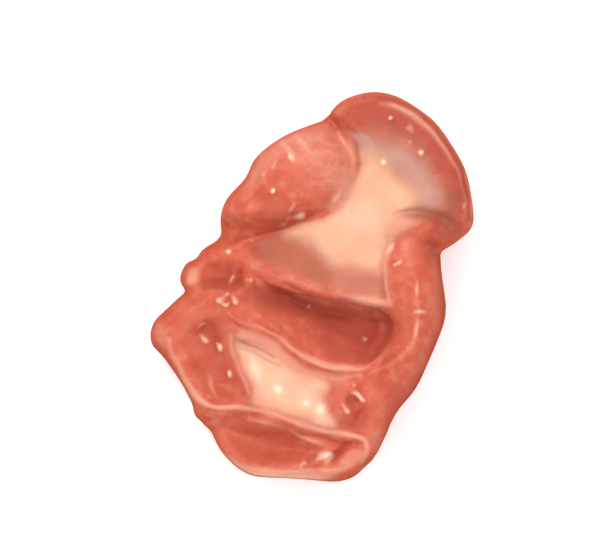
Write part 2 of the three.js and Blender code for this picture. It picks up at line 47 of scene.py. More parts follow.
# Form of the meat. A fade is where it starts, how far it runs and, if they aren't 0 and 1,
# its least and most.
gizzardForm = {
    # Step of the mesh, longer for a draft and so many times taller low down.
    "cell": 0.312, "quickCell": 0.46, "tallCell": 1.8, "tallBelow": 6, "evenOut": 2,
    # Space that the field is worked out in.
    "halfWidth": 29.0, "halfLength": 34.8, "floor": -1.0, "ceiling": 23.0,
    # How uneven the sides, faces, drawn lines and ridges are, and over which size.
    "sideWave": 0.3, "sideWaveSize": 3.6, "faceWave": 0.35, "faceWaveSize": 2.6,
    "waver": 0.25, "waverSize": 1.5, "ridgeWave": 0.35, "ridgeWaveSize": 1.1,
    # How far edges tuck under, how high ridges stand, where the relief comes in, and how many
    # times taller than wide the band is.
    "underTuck": 1.7, "ridgeShare": 0.75, "reliefFade": (2, 5), "bandTall": 1.6,
    # The hollow slopes from the lower lip, drops past a shelf and ends in a wall. Its line
    # keeps clear of both lips.
    "hollow": {
        "depth": 5.6, "slope": 0.42, "shelf": 4.3, "drop": 1.2, "wall": 3.4,
        "underLip": 1.4, "underLipFade": (-11, 5), "overLip": 0.9,
        "shelfLess": 1.4, "shelfFade": (4, 6), "leftFade": (-13, 8, 0.15),
        "wallFade": (-12, 8, 0.25), "pocketBlend": 3.2, "floorBlend": 2.5, "wallBlend": 2.6,
        "rightEnd": [(13.5, -5.8), (13.5, -8), (12, -10.6), (9.6, -12.7)],
        "leftEnd": [(-13.2, -3.2)]},
    "waistFall": {"depth": 4.0, "left": (1, -14, 0, 1.15), "top": 13, "topSoft": 4,
                  "foot": -1, "footSoft": 3},
    # Ellipsoids: the floor under the hollow, the dish of the flap, the cut below the upper lip.
    "lobes": {
        "floor": {"centre": (1, -4, 2), "radii": (18, 13, 7.6)},
        "dish": {"centre": (10.2, 15.2, 24.6), "radii": (14.2, 12.6, 9.0), "turn": -47, "tip": 17},
        "undercut": {"centre": (4.8, -3.2, 11.2), "radii": (9.2, 2.3, 2.1), "turn": -13}},
    # How softly each part runs into the rest: blend, or blend, growth and its fade.
    "blend": {
        "fold": 1.0, "floor": 1.0, "band": 3.2, "dish": 1.5, "flap": 1.5, "base": 1.0,
        "undercut": 0.5, "halves": (0.8, 2.0, -3, -8), "roundLobe": (0.6, 2.0, 14, -10),
        "neck": (1.0, 1.6, -20, 8)},
    # Slabs are soft flat lobes: where they start and end in height, how wide and how tall
    # their rounded edge is, and the line round them in plan.
    "slabs": {
        "leftHalf": (-1, 14.2, 3.2, 7.2, [(-20.8, -0.6), (-24.4, -3.4), (-27.1, -6.2),
            (-27.5, -9.6), (-25.2, -12.4), (-22.7, -15.8), (-20.8, -19.6), (-18.7, -23.2),
            (-8, -26), (8, -24), (13, -14), (13.5, -5), (3, -2.6), (-4, 1.4), (-8, 3.4), (-12, 4),
            (-16, 1)]),
        "bottomFold": (-1, 13.4, 2.6, 6.8, [(-17.9, -22.6), (-17.2, -24.6), (-15.2, -28.6),
            (-11, -31.7), (-5, -32.6), (1, -33.1), (4.9, -33.1), (7.7, -32.1), (9.6, -29.8),
            (11.5, -27), (12, -22), (0, -17), (-12, -17)]),
        "waist": (0, 15.4, 2.2, 3.6, [(-13.6, 5), (-10.6, 8.8), (-3, 11), (3, 15), (7, 21),
            (14, 19), (17, 11), (14.5, 2), (13.4, -3.8), (8, -3.4), (3, -2.5), (-1, -1.4),
            (-4, -0.1), (-7, 0.7), (-10.5, 1.6)]),
        "flap": (-0.5, 20.4, 3.6, 10.0, [(3.1, 28), (3.4, 30), (5.6, 31.9), (9.8, 32.9),
            (14.4, 31.9), (19, 29.2), (22.9, 24.8), (25.5, 20.3), (26.8, 14.8), (26.8, 10.5),
            (24.7, 8.1), (21, 6.4), (16, 8), (11, 13), (6, 21)]),
        "roundLobe": (-1, 18.4, 6.0, 8.2, [(3.2, 27.9), (6.8, 25.7), (8.8, 21.2), (7.7, 17),
            (4.6, 12.6), (-3.8, 9.3), (-9.8, 7.4), (-14.4, 6.8), (-15.6, 10.5), (-14.4, 14.7),
            (-11.2, 18.4), (-9.4, 22), (-4.7, 25.7), (0.4, 27.6)]),
        "neck": (-0.5, 14.0, 3.0, 6.4, [(-21.9, -0.3), (-22.8, 1.7), (-21.9, 4), (-20.2, 5),
            (-18.8, 6.7), (-16, 8.1), (-12.5, 8), (-9, 4), (-12, -2), (-18, -3)]),
    },
    # Thick band round the right side: x, y, z, radius.
    "band": [(15.4, 9.2, 9.8, 3.2), (16.8, 6.2, 10, 4.3), (17, 2, 10.2, 4.8), (17.6, -3, 10.2, 4.9),
        (17.1, -7.5, 9.9, 4.3), (15.7, -11, 9.5, 4.3), (13.8, -15, 9.1, 4.2), (11.2, -19, 8.5, 3.9),
        (9, -24, 7.9, 3.6), (7, -26.8, 7.2, 4.2)],
    # Sunken areas of the upper face: steps of inset, depth and width of the wall, and the line.
    "basins": {
        "bottomDish": ([(0, 0.7, 0.9), (0.6, 2, 4.2)], [(-18.4, -22.2), (-12, -20.9), (-8, -21.5),
            (-4, -23), (0, -24.5), (4, -25.4), (6.6, -26), (3.8, -28.8), (1.6, -30.2), (-3, -31.3),
            (-8, -31.3), (-12, -29.8), (-15.5, -27), (-17.6, -24.2)]),
        "leftValley": ([(0, 1.5, 3.6)], [(-18.5, -4.5), (-16, -5), (-14.6, -8), (-13.3, -12),
            (-11.6, -15.5), (-10.4, -18), (-10.9, -19.6), (-14, -19.7), (-17.2, -19), (-19.4, -17),
            (-21.4, -13.6), (-22.6, -10.4), (-21.8, -7)]),
        "leftPit": ([(0, 0.4, 1.6)], [(-19, -5.2), (-16.4, -5.4), (-15.2, -8), (-15.6, -10.6),
            (-17.6, -11.2), (-19.4, -8.6)]),
        "lowerTendon": ([(0, 0.35, 1.8)], [(-13.8, -7.4), (-12, -6.9), (-9, -7.9), (-6, -9.4),
            (-3, -11.8), (0, -13.7), (3, -14.9), (4.4, -17), (4.4, -20), (4.6, -23), (2, -23.2),
            (-2, -22.2), (-6, -20.7), (-9.6, -19.9), (-10.6, -17.5), (-11.7, -15), (-13.2, -11.5)]),
    },
    # Raised lips and rims, and creases where the height is below zero: x, y, width, height.
    # In such a line, values that a point leaves out are those of the point before.
    "ridges": {
        "upperLip": [(-12.5, 2.6, 0.9, 0.2), (-10, 2.2, 1.1, 0.3), (-7, 1.7, 1, 0.5),
            (-4, 1, 0.9, 0.6), (-1, -0.3), (3, -1.4, 0.8), (7, -2.1), (12, -2.9, 0.7, 0.5)],
        "lowerLip": [(-14, -4.8, 0.52, 0.4), (-12, -5.9, 0.6, 0.8), (-9, -6.8, 0.6, 0.9),
            (-6, -8.2, 0.68, 1), (-3.5, -10.3), (-1, -12.2, 0.6), (2, -13.4, 0.52, 0.9),
            (6, -13.9, 0.52, 0.8), (9, -13.6, 0.45, 0.4)],
        "leftRim": [(-25.6, -7, 0.6, 0.4), (-24.6, -9.6, 0.6, 0.7), (-22.6, -13.4, 0.68, 0.9),
            (-20.8, -16.9, 0.68, 1), (-18.5, -19.3), (-15.5, -20.3, 0.6, 0.8),
            (-11, -20.3, 0.52, 0.7), (-7, -21.2), (-3, -22.7), (1, -24, 0.6, 0.8),
            (5, -24.6, 0.6, 0.9), (8, -25.2, 0.68, 1)],
        "secondRim": [(-12, -21.9, 0.4, 0.3), (-9, -22.2, 0.5, 0.7), (-5, -23.3), (-1.5, -25.2),
            (1.5, -26.8, 0.5, 0.5)],
        "flapRim": [(9.7, 31, 0.6, 0.2), (12.1, 30.5, 0.6, 0.7), (14, 30, 0.6, 0.9), (15.9, 28.8),
            (18, 27.3), (19.8, 25.6), (21.4, 23.6), (22.8, 21.6), (24, 19.4, 0.6, 0.8),
            (24.6, 16.6, 0.6, 0.7), (25, 13.2, 0.7, 0.8), (24.8, 10.4, 0.8), (23.1, 8.7, 0.8, 0.3)],
        "flapFold": [(13.4, 11.7, 0.6, -0.4), (15.4, 12.3, 0.6, -1), (17.8, 12.5, 0.6, -1.3),
            (20, 12, 0.7, -1.4), (22.5, 10.6, 1, -1.2)],
        "bandCrest": [(17, 3, 0.8, 0.2), (17.2, -1, 0.9, 0.5), (17.5, -5), (17, -8.5),
            (15.6, -11, 0.8), (12.8, -13), (9.5, -14.6, 0.6, 0.4)],
        "bandEdge": [(12.1, 6, 0.5, 0.3), (12.2, 2, 0.4, 0.4), (12.4, -2.4)],
        "lobeCrease": [(3.4, 28.2, 0.5, -0.8), (5.6, 26.7, 0.5, -0.7), (7.6, 24, 0.5, -0.5),
            (8.3, 21.2), (7.7, 18, 0.5, -0.4), (5.8, 14.4, 0.5, -0.3), (2.4, 11.6, 0.5, -0.15),
            (-3, 10.1, 0.5, -0.1), (-9, 8.4, 0.6)],
        "curlSlit": [(7.6, -26.4, 0.5, -0.4), (6, -26.8, 0.6, -1.5), (4.4, -27.8, 0.6, -2),
            (3.2, -29.2, 0.6, -1.6), (1.8, -29.8, 0.5, -0.6)],
        "curlRim": [(8.8, -26, 1.2, 0.8), (9.2, -28, 1.3, 1.2), (7.6, -30, 1.4),
            (4.6, -31.2, 1.2, 1), (1, -31.4, 1, 0.6), (-4, -31.3, 0.8, 0.5), (-9, -30.7),
            (-13.5, -28.4, 0.8, 0.4)],
        "tendonEdge": [(-14.2, -7, 0.6, 0.3), (-13.4, -11, 0.6, 0.5), (-11.8, -15),
            (-10.4, -18, 0.6, 0.3)],
        "neckTag": [(-13.9, 0.6, 0.45, 0.3), (-13.5, 1.3, 0.5, 0.6), (-13.3, 2.2, 0.45, 0.3)],
        "neckHole": [(-12.7, 1.4, 0.6, -0.6), (-12.4, 2.3, 0.7, -1.1), (-12.2, 3, 0.6, -0.6)],
        "neckCord": [(-11.5, 1.2, 0.4, 0.3), (-10.6, 1.3, 0.45, 0.5), (-9.8, 1.2, 0.4, 0.3)],
        "forkTop": [(-16, -2.2, 0.5, 0.3), (-15, -1.5, 0.5, 0.5), (-14.1, -0.9, 0.5, 0.4),
            (-13.3, -1.4), (-12.9, -2.4, 0.55, 0.5)],
        "forkFoot": [(-15.9, -2.4, 0.5, 0.3), (-14.9, -3, 0.5, 0.45), (-14.2, -2.4, 0.4, 0.3)],
        "lumpFold": [(6.4, -17.3, 0.6, 0.7), (7.5, -17.7, 0.6, 1), (8.3, -19, 0.6, 0.7)],
        "lumpPit": [(6.4, -18.6, 0.6, -0.9), (7.3, -19)],
        "lumpFat": [(5, -19.5, 0.7, 0.5), (5.8, -20.8, 0.6, 0.6)],
        "lumpHollow": [(8.4, -21.5, 1.3, -0.8), (7.6, -24, 1, -0.5)],
        "tendonWrinkleA": [(-12.4, -9, 0.3, -0.15), (-10, -9.9, 0.3, -0.3),
            (-7.2, -11.4, 0.3, -0.15)],
        "tendonWrinkleB": [(-11.8, -10.2, 0.3, -0.15), (-9.6, -11.1, 0.3, -0.25),
            (-7.6, -12.4, 0.3, -0.1)],
        "pitTags": [(-19.4, -6.8, 0.4, 0.2), (-18.6, -6.1, 0.45, 0.5), (-17.9, -6.3, 0.4, 0.2)],
    },
    # Soft rises and dips: x, y, radius, height.
    "mounds": [(1, 21.5, 5, 1), (-8.5, 12, 3.2, -1.4), (-12, 16, 3, -1.4), (2.5, 14.2, 3.4, -0.8),
        (-20.3, 1.9, 2.1, 1.4), (-16.8, 5.4, 2.2, 1), (-18, 3.2, 1, -0.7), (-17.9, 0.2, 1, -0.6)],
    # Beads of juice and fat that catch the light: x, y, radius, height.
    "beads": [(-3.6, 21.7, 0.55, 0.45), (-3.3, 21, 0.45, 0.3), (-6.6, 16, 0.5, 0.45),
        (-8.2, 18.9, 0.5, 0.35), (-6.5, 20.3, 0.45, 0.35), (-2, 11.8, 0.6, 0.3),
        (-3.3, 13.6, 0.5, 0.45), (-3.9, 12.8, 0.4, 0.3), (3.7, 14.4, 0.5, 0.4),
        (4.6, 15.3, 0.5, 0.35), (12.7, 28, 0.55, 0.5), (18, 22.3, 0.55, 0.5),
        (11.7, 20.8, 0.5, 0.35), (16.4, 26.6, 0.4, 0.3), (15.9, 24, 0.4, 0.25),
        (25.4, 11.2, 0.5, 0.35), (25.6, 13.7, 0.4, 0.3), (-14.4, 6, 0.6, 0.5),
        (12.7, 6.3, 0.6, 0.15), (14.2, 3.9, 0.55, 0.15), (-0.5, -3.2, 0.45, 0.4),
        (8.9, -8.8, 0.5, 0.4), (11.2, -4.8, 0.45, 0.3), (-5.7, -17.1, 0.6, 0.35),
        (-1.3, -19.2, 0.7, 0.3), (1.4, -20.6, 0.8, 0.4), (-9.6, -13.4, 0.7, 0.3),
        (-24, -9, 0.5, 0.35), (-18.3, -8.8, 0.5, 0.4), (-15.8, -9.9, 0.6, 0.5),
        (-14, -14.7, 0.5, 0.5), (-14.7, -15.5, 0.4, 0.3), (-12, -8.7, 0.5, 0.3),
        (2.2, -28.4, 0.9, 0.7), (3.1, -28, 0.5, 0.4), (-1.7, -29.8, 0.6, 0.5),
        (-8.2, -28.5, 0.4, 0.2), (7, -16.6, 0.5, 0.3), (17.6, -3.6, 0.5, 0.3)],
}


# From 0 to 1 as a value goes from its start over a width, or between other limits.
def fade(value, start, width, least=0, most=1):
    return np.clip((value - start) / width, least, most)


# Smooth line through points, open or as a ring. A point can leave out its last values, which
# are those of the point before.
def curve(points, ring=False):
    steps = 4  # for each stretch between two points
    rows = [points[0]]
    for point in points[1:]:
        rows.append((*point, *rows[-1][len(point):]))
    points = np.array(rows, float)
    count = len(points)
    if not ring:
        points = np.vstack([2 * points[0] - points[1], points, 2 * points[-1] - points[-2]])
    line = []
    for i in range(count if ring else count - 1):
        if ring:
            a, b, c, d = (points[(i + k) % count] for k in (-1, 0, 1, 2))
        else:
            a, b, c, d = points[i:i + 4]
        for t in np.arange(steps) / steps:
            bend = (2 * a - 5 * b + 4 * c - d) * t ** 2
            twist = (3 * b - a - 3 * c + d) * t ** 3
            line.append(0.5 * (2 * b + (c - a) * t + bend + twist))
    line.append(line[0] if ring else points[-2])
    return np.array(line)


# Nearest distance in plan to a line, with the line's further values there.
def lineDistance(x, y, line):
    best = np.full(np.shape(x), 1e9)
    values = [np.zeros(np.shape(x)) for _ in line[0][2:]]
    for a, b in zip(line[:-1], line[1:]):
        dx, dy = b[0] - a[0], b[1] - a[1]
        along = ((x - a[0]) * dx + (y - a[1]) * dy) / max(dx * dx + dy * dy, 1e-9)
        t = np.clip(along, 0, 1)
        distance = np.hypot(x - a[0] - t * dx, y - a[1] - t * dy)
        near = distance < best
        best = np.where(near, distance, best)
        for k in range(len(values)):
            values[k] = np.where(near, a[k + 2] + t * (b[k + 2] - a[k + 2]), values[k])
    return best, values


# How far a point lies inside a closed line, negative outside.
def insideRing(x, y, points):
    line = curve(points, ring=True)
    distance, _ = lineDistance(x, y, line)
    within = np.zeros(np.shape(x), bool)
    for a, b in zip(line[:-1], line[1:]):
        spans = (a[1] > y) != (b[1] > y)
        rise = (b[1] - a[1]) or 1e-9
        within ^= spans & (x < (b[0] - a[0]) * (y - a[1]) / rise + a[0])
    return np.where(within, distance, -distance)


def ridge(x, y, points):
    distance, (width, height) = lineDistance(x, y, curve(points))
    return height * np.exp(-((distance / width) ** 2))


def sink(within, depth, wall):
    t = np.clip(within / wall, 0, 1)
    return depth * t * t * (3 - 2 * t)


def mound(x, y, spot):
    cx, cy, radius, height = spot
    return height * np.exp(-((x - cx) ** 2 + (y - cy) ** 2) / radius ** 2)


# Smooth uneven wave between about -1 and 1. The factors keep its three parts out of step.
def waves(x, y, z, size, phase):
    a, b, c = x / size, y / size, z / size
    one = np.sin(1.7 * a + 0.9 * b + 0.6 * c + phase)
    two = np.sin(-1.1 * a + 1.9 * b + 0.8 * c + 2.1 * phase)
    three = np.sin(0.7 * a - 1.2 * b + 2.1 * c + 3.3 * phase)
    return (one + two + three) / 3


# Drawn lines waver a little, alike for form and colour.
def waver(x, y):
    reach, size = gizzardForm["waver"], gizzardForm["waverSize"]
    return x + reach * waves(x, y, 0 * x, size, 5), y + reach * waves(x, y, 0 * x, size, 6)


# Smooth union, and smooth cut of b from a.
def join(a, b, blend):
    near = np.maximum(blend - np.abs(a - b), 0) / blend
    return np.minimum(a, b) - near * near * blend * 0.25


def carve(a, b, blend):
    return -join(-a, b, blend)


# The hollow falls from the lower lip to its deepest line under the upper lip.
def hollow(x, y):
    form, lips = gizzardForm["hollow"], gizzardForm["ridges"]
    underUpperLip = [(a, b - form["underLip"] * fade(a, *form["underLipFade"]))
                     for a, b, *_ in lips["upperLip"][1:]]
    overLowerLip = [(a, b + form["overLip"]) for a, b, *_ in lips["lowerLip"][1:-1]]
    line = underUpperLip + form["rightEnd"] + overLowerLip[::-1] + form["leftEnd"]
    room = insideRing(x, y, line)
    fromLip, _ = lineDistance(x, y, curve(overLowerLip))
    shelf = form["shelf"] - form["shelfLess"] * fade(x, *form["shelfFade"])
    pocket = form["slope"] * shelf + form["drop"] * (fromLip - shelf)
    depth = carve(form["slope"] * fromLip, -pocket, form["pocketBlend"])
    depth = join(depth, form["depth"], form["floorBlend"]) * fade(x, *form["leftFade"])
    wall = form["wall"] * room * fade(x, *form["wallFade"])
    depth = join(depth, wall, form["wallBlend"])
    return np.where(room > 0, np.maximum(depth, 0), 0)


# The waist falls away to the left, toward the neck.
def waistFall(x, y):
    fall = gizzardForm["waistFall"]
    within = sink(fall["top"] - y, 1, fall["topSoft"]), sink(y - fall["foot"], 1, fall["footSoft"])
    return fall["depth"] * fade(x, *fall["left"]) * within[0] * within[1]


# How much the upper face is raised or sunk over a plan point.
def relief(x, y):
    height = -hollow(x, y) - waistFall(x, y)
    for spot in gizzardForm["mounds"] + gizzardForm["beads"]:
        height = height + mound(x, y, spot)
    x, y = waver(x, y)
    uneven = waves(x, y, 0 * x, gizzardForm["ridgeWaveSize"], 7)
    share = gizzardForm["ridgeShare"] + gizzardForm["ridgeWave"] * uneven
    for line in gizzardForm["ridges"].values():
        height = height + share * ridge(x, y, line)
    for steps, line in gizzardForm["basins"].values():
        within = insideRing(x, y, line)
        for inset, depth, wall in steps:
            height = height - sink(within - inset, depth, wall)
    return height


def slabField(within, z, low, high, side, top):
    half, middle = (high - low) / 2, (high + low) / 2
    tuck = 1 + gizzardForm["underTuck"] * np.clip((middle - z) / half, 0, 1)
    across = 1 - within / (side * tuck)
    up = (np.abs(z - middle) - half) / top + 1
    outside = np.hypot(np.maximum(across, 0), np.maximum(up, 0))
    return (np.minimum(np.maximum(across, up), 0) + outside - 1) * side


# Ellipsoid turned about Z and tipped about its own X.
def lobeField(x, y, z, centre, radii, turn=0, tip=0):
    x, y, z = x - centre[0], y - centre[1], z - centre[2]
    ct, st = math.cos(math.radians(turn)), math.sin(math.radians(turn))
    cp, sp = math.cos(math.radians(tip)), math.sin(math.radians(tip))
    x, y = ct * x + st * y, ct * y - st * x
    y, z = cp * y + sp * z, cp * z - sp * y
    a, b, c = radii
    reach = np.sqrt((x / a) ** 2 + (y / b) ** 2 + (z / c) ** 2) + 1e-6
    slope = np.sqrt((x / a ** 2) ** 2 + (y / b ** 2) ** 2 + (z / c ** 2) ** 2) / reach
    return (reach - 1) / np.maximum(slope, 1e-4)


def bandField(x, y, z):
    tall = gizzardForm["bandTall"]
    line = curve(gizzardForm["band"])
    best = None
    for a, b in zip(line[:-1], line[1:]):
        dx, dy, dz = b[0] - a[0], b[1] - a[1], (b[2] - a[2]) / tall
        px, py, pz = x - a[0], y - a[1], (z - a[2]) / tall
        t = np.clip((px * dx + py * dy + pz * dz) / (dx * dx + dy * dy + dz * dz), 0, 1)
        distance = np.sqrt((px - t * dx) ** 2 + (py - t * dy) ** 2 + (pz - t * dz) ** 2)
        distance = distance - a[3] - t * (b[3] - a[3])
        best = distance if best is None else np.minimum(best, distance)
    return best


# Blend that grows along one way.
def growing(value, least, more, start, width):
    return least + more * fade(value, start, width)


# Signed field of the whole piece over a grid, negative inside the meat.
def meatField(x, y, heights):
    form = gizzardForm
    slabs, lobes, blend = form["slabs"], form["lobes"], form["blend"]
    wx = x + form["sideWave"] * waves(x, y, 0 * x, form["sideWaveSize"], 1)
    wy = y + form["sideWave"] * waves(x, y, 0 * x, form["sideWaveSize"], 2)
    within = {name: insideRing(wx, wy, slabs[name][-1])[..., None] for name in slabs}
    raised = relief(x, y)[..., None]
    x, y, wx, wy = x[..., None], y[..., None], wx[..., None], wy[..., None]
    z = heights - raised * fade(heights, *form["reliefFade"])
    z = z + form["faceWave"] * waves(x, y, z, form["faceWaveSize"], 4)
    slab = {name: slabField(within[name], z, *slabs[name][:-1]) for name in slabs}

    lower = join(slab["leftHalf"], slab["bottomFold"], blend["fold"])
    lower = join(lower, lobeField(wx, wy, z, **lobes["floor"]), blend["floor"])

    upper = join(slab["waist"], bandField(wx, wy, z), blend["band"])
    flap = carve(slab["flap"], lobeField(wx, wy, z, **lobes["dish"]), blend["dish"])
    upper = join(upper, flap, blend["flap"])

    whole = join(lower, upper, growing(x, *blend["halves"]))
    whole = join(whole, slab["roundLobe"], growing(z, *blend["roundLobe"]))
    whole = join(whole, slab["neck"], growing(x, *blend["neck"]))
    undercut = lobeField(wx, wy, heights, **lobes["undercut"])
    whole = carve(whole, undercut, blend["undercut"])
    return carve(whole, heights + 0 * x, blend["base"])


# Closed skin of quads where a grid of values changes sign, one vertex in each cell it crosses.
def skinOfField(values, axes):
    cells = tuple(n - 1 for n in values.shape)
    filled = values < 0
    total = np.zeros(cells + (3,), np.float32)
    count = np.zeros(cells, np.int32)
    crossings = []
    for axis in range(3):
        others = [a for a in range(3) if a != axis]
        low = tuple(slice(0, -1) if a == axis else slice(None) for a in range(3))
        high = tuple(slice(1, None) if a == axis else slice(None) for a in range(3))
        crossed = filled[low] != filled[high]
        share = values[low] / np.where(crossed, values[low] - values[high], 1)
        crossings.append((crossed, filled[low]))
        for i in (0, 1):
            for j in (0, 1):
                part = [slice(None)] * 3
                part[others[0]] = slice(i, i + cells[others[0]])
                part[others[1]] = slice(j, j + cells[others[1]])
                hit = crossed[tuple(part)]
                total[..., axis] += np.where(hit, share[tuple(part)], 0)
                total[..., others[0]] += np.where(hit, i, 0)
                total[..., others[1]] += np.where(hit, j, 0)
                count += hit
    used = count > 0
    index = np.full(cells, -1, np.int64)
    index[used] = np.arange(used.sum())
    corner = np.argwhere(used)
    inCell = total[used] / count[used][:, None]
    points = np.empty((len(corner), 3))
    for axis in range(3):
        start = axes[axis][corner[:, axis]]
        points[:, axis] = start + inCell[:, axis] * (axes[axis][corner[:, axis] + 1] - start)
    quads = []
    for axis, (crossed, first) in enumerate(crossings):
        b, c = (axis + 1) % 3, (axis + 2) % 3
        edges = np.argwhere(crossed)
        edges = edges[(edges[:, b] > 0) & (edges[:, c] > 0)]
        edges = edges[(edges[:, b] < cells[b]) & (edges[:, c] < cells[c])]
        around = []
        for db, dc in ((0, 0), (-1, 0), (-1, -1), (0, -1)):
            cell = edges.copy()
            cell[:, b] += db
            cell[:, c] += dc
            around.append(index[cell[:, 0], cell[:, 1], cell[:, 2]])
        quad = np.stack(around, 1)
        turned = ~first[edges[:, 0], edges[:, 1], edges[:, 2]]
        quad[turned] = quad[turned][:, ::-1]
        quads.append(quad)
    return points, np.concatenate(quads)


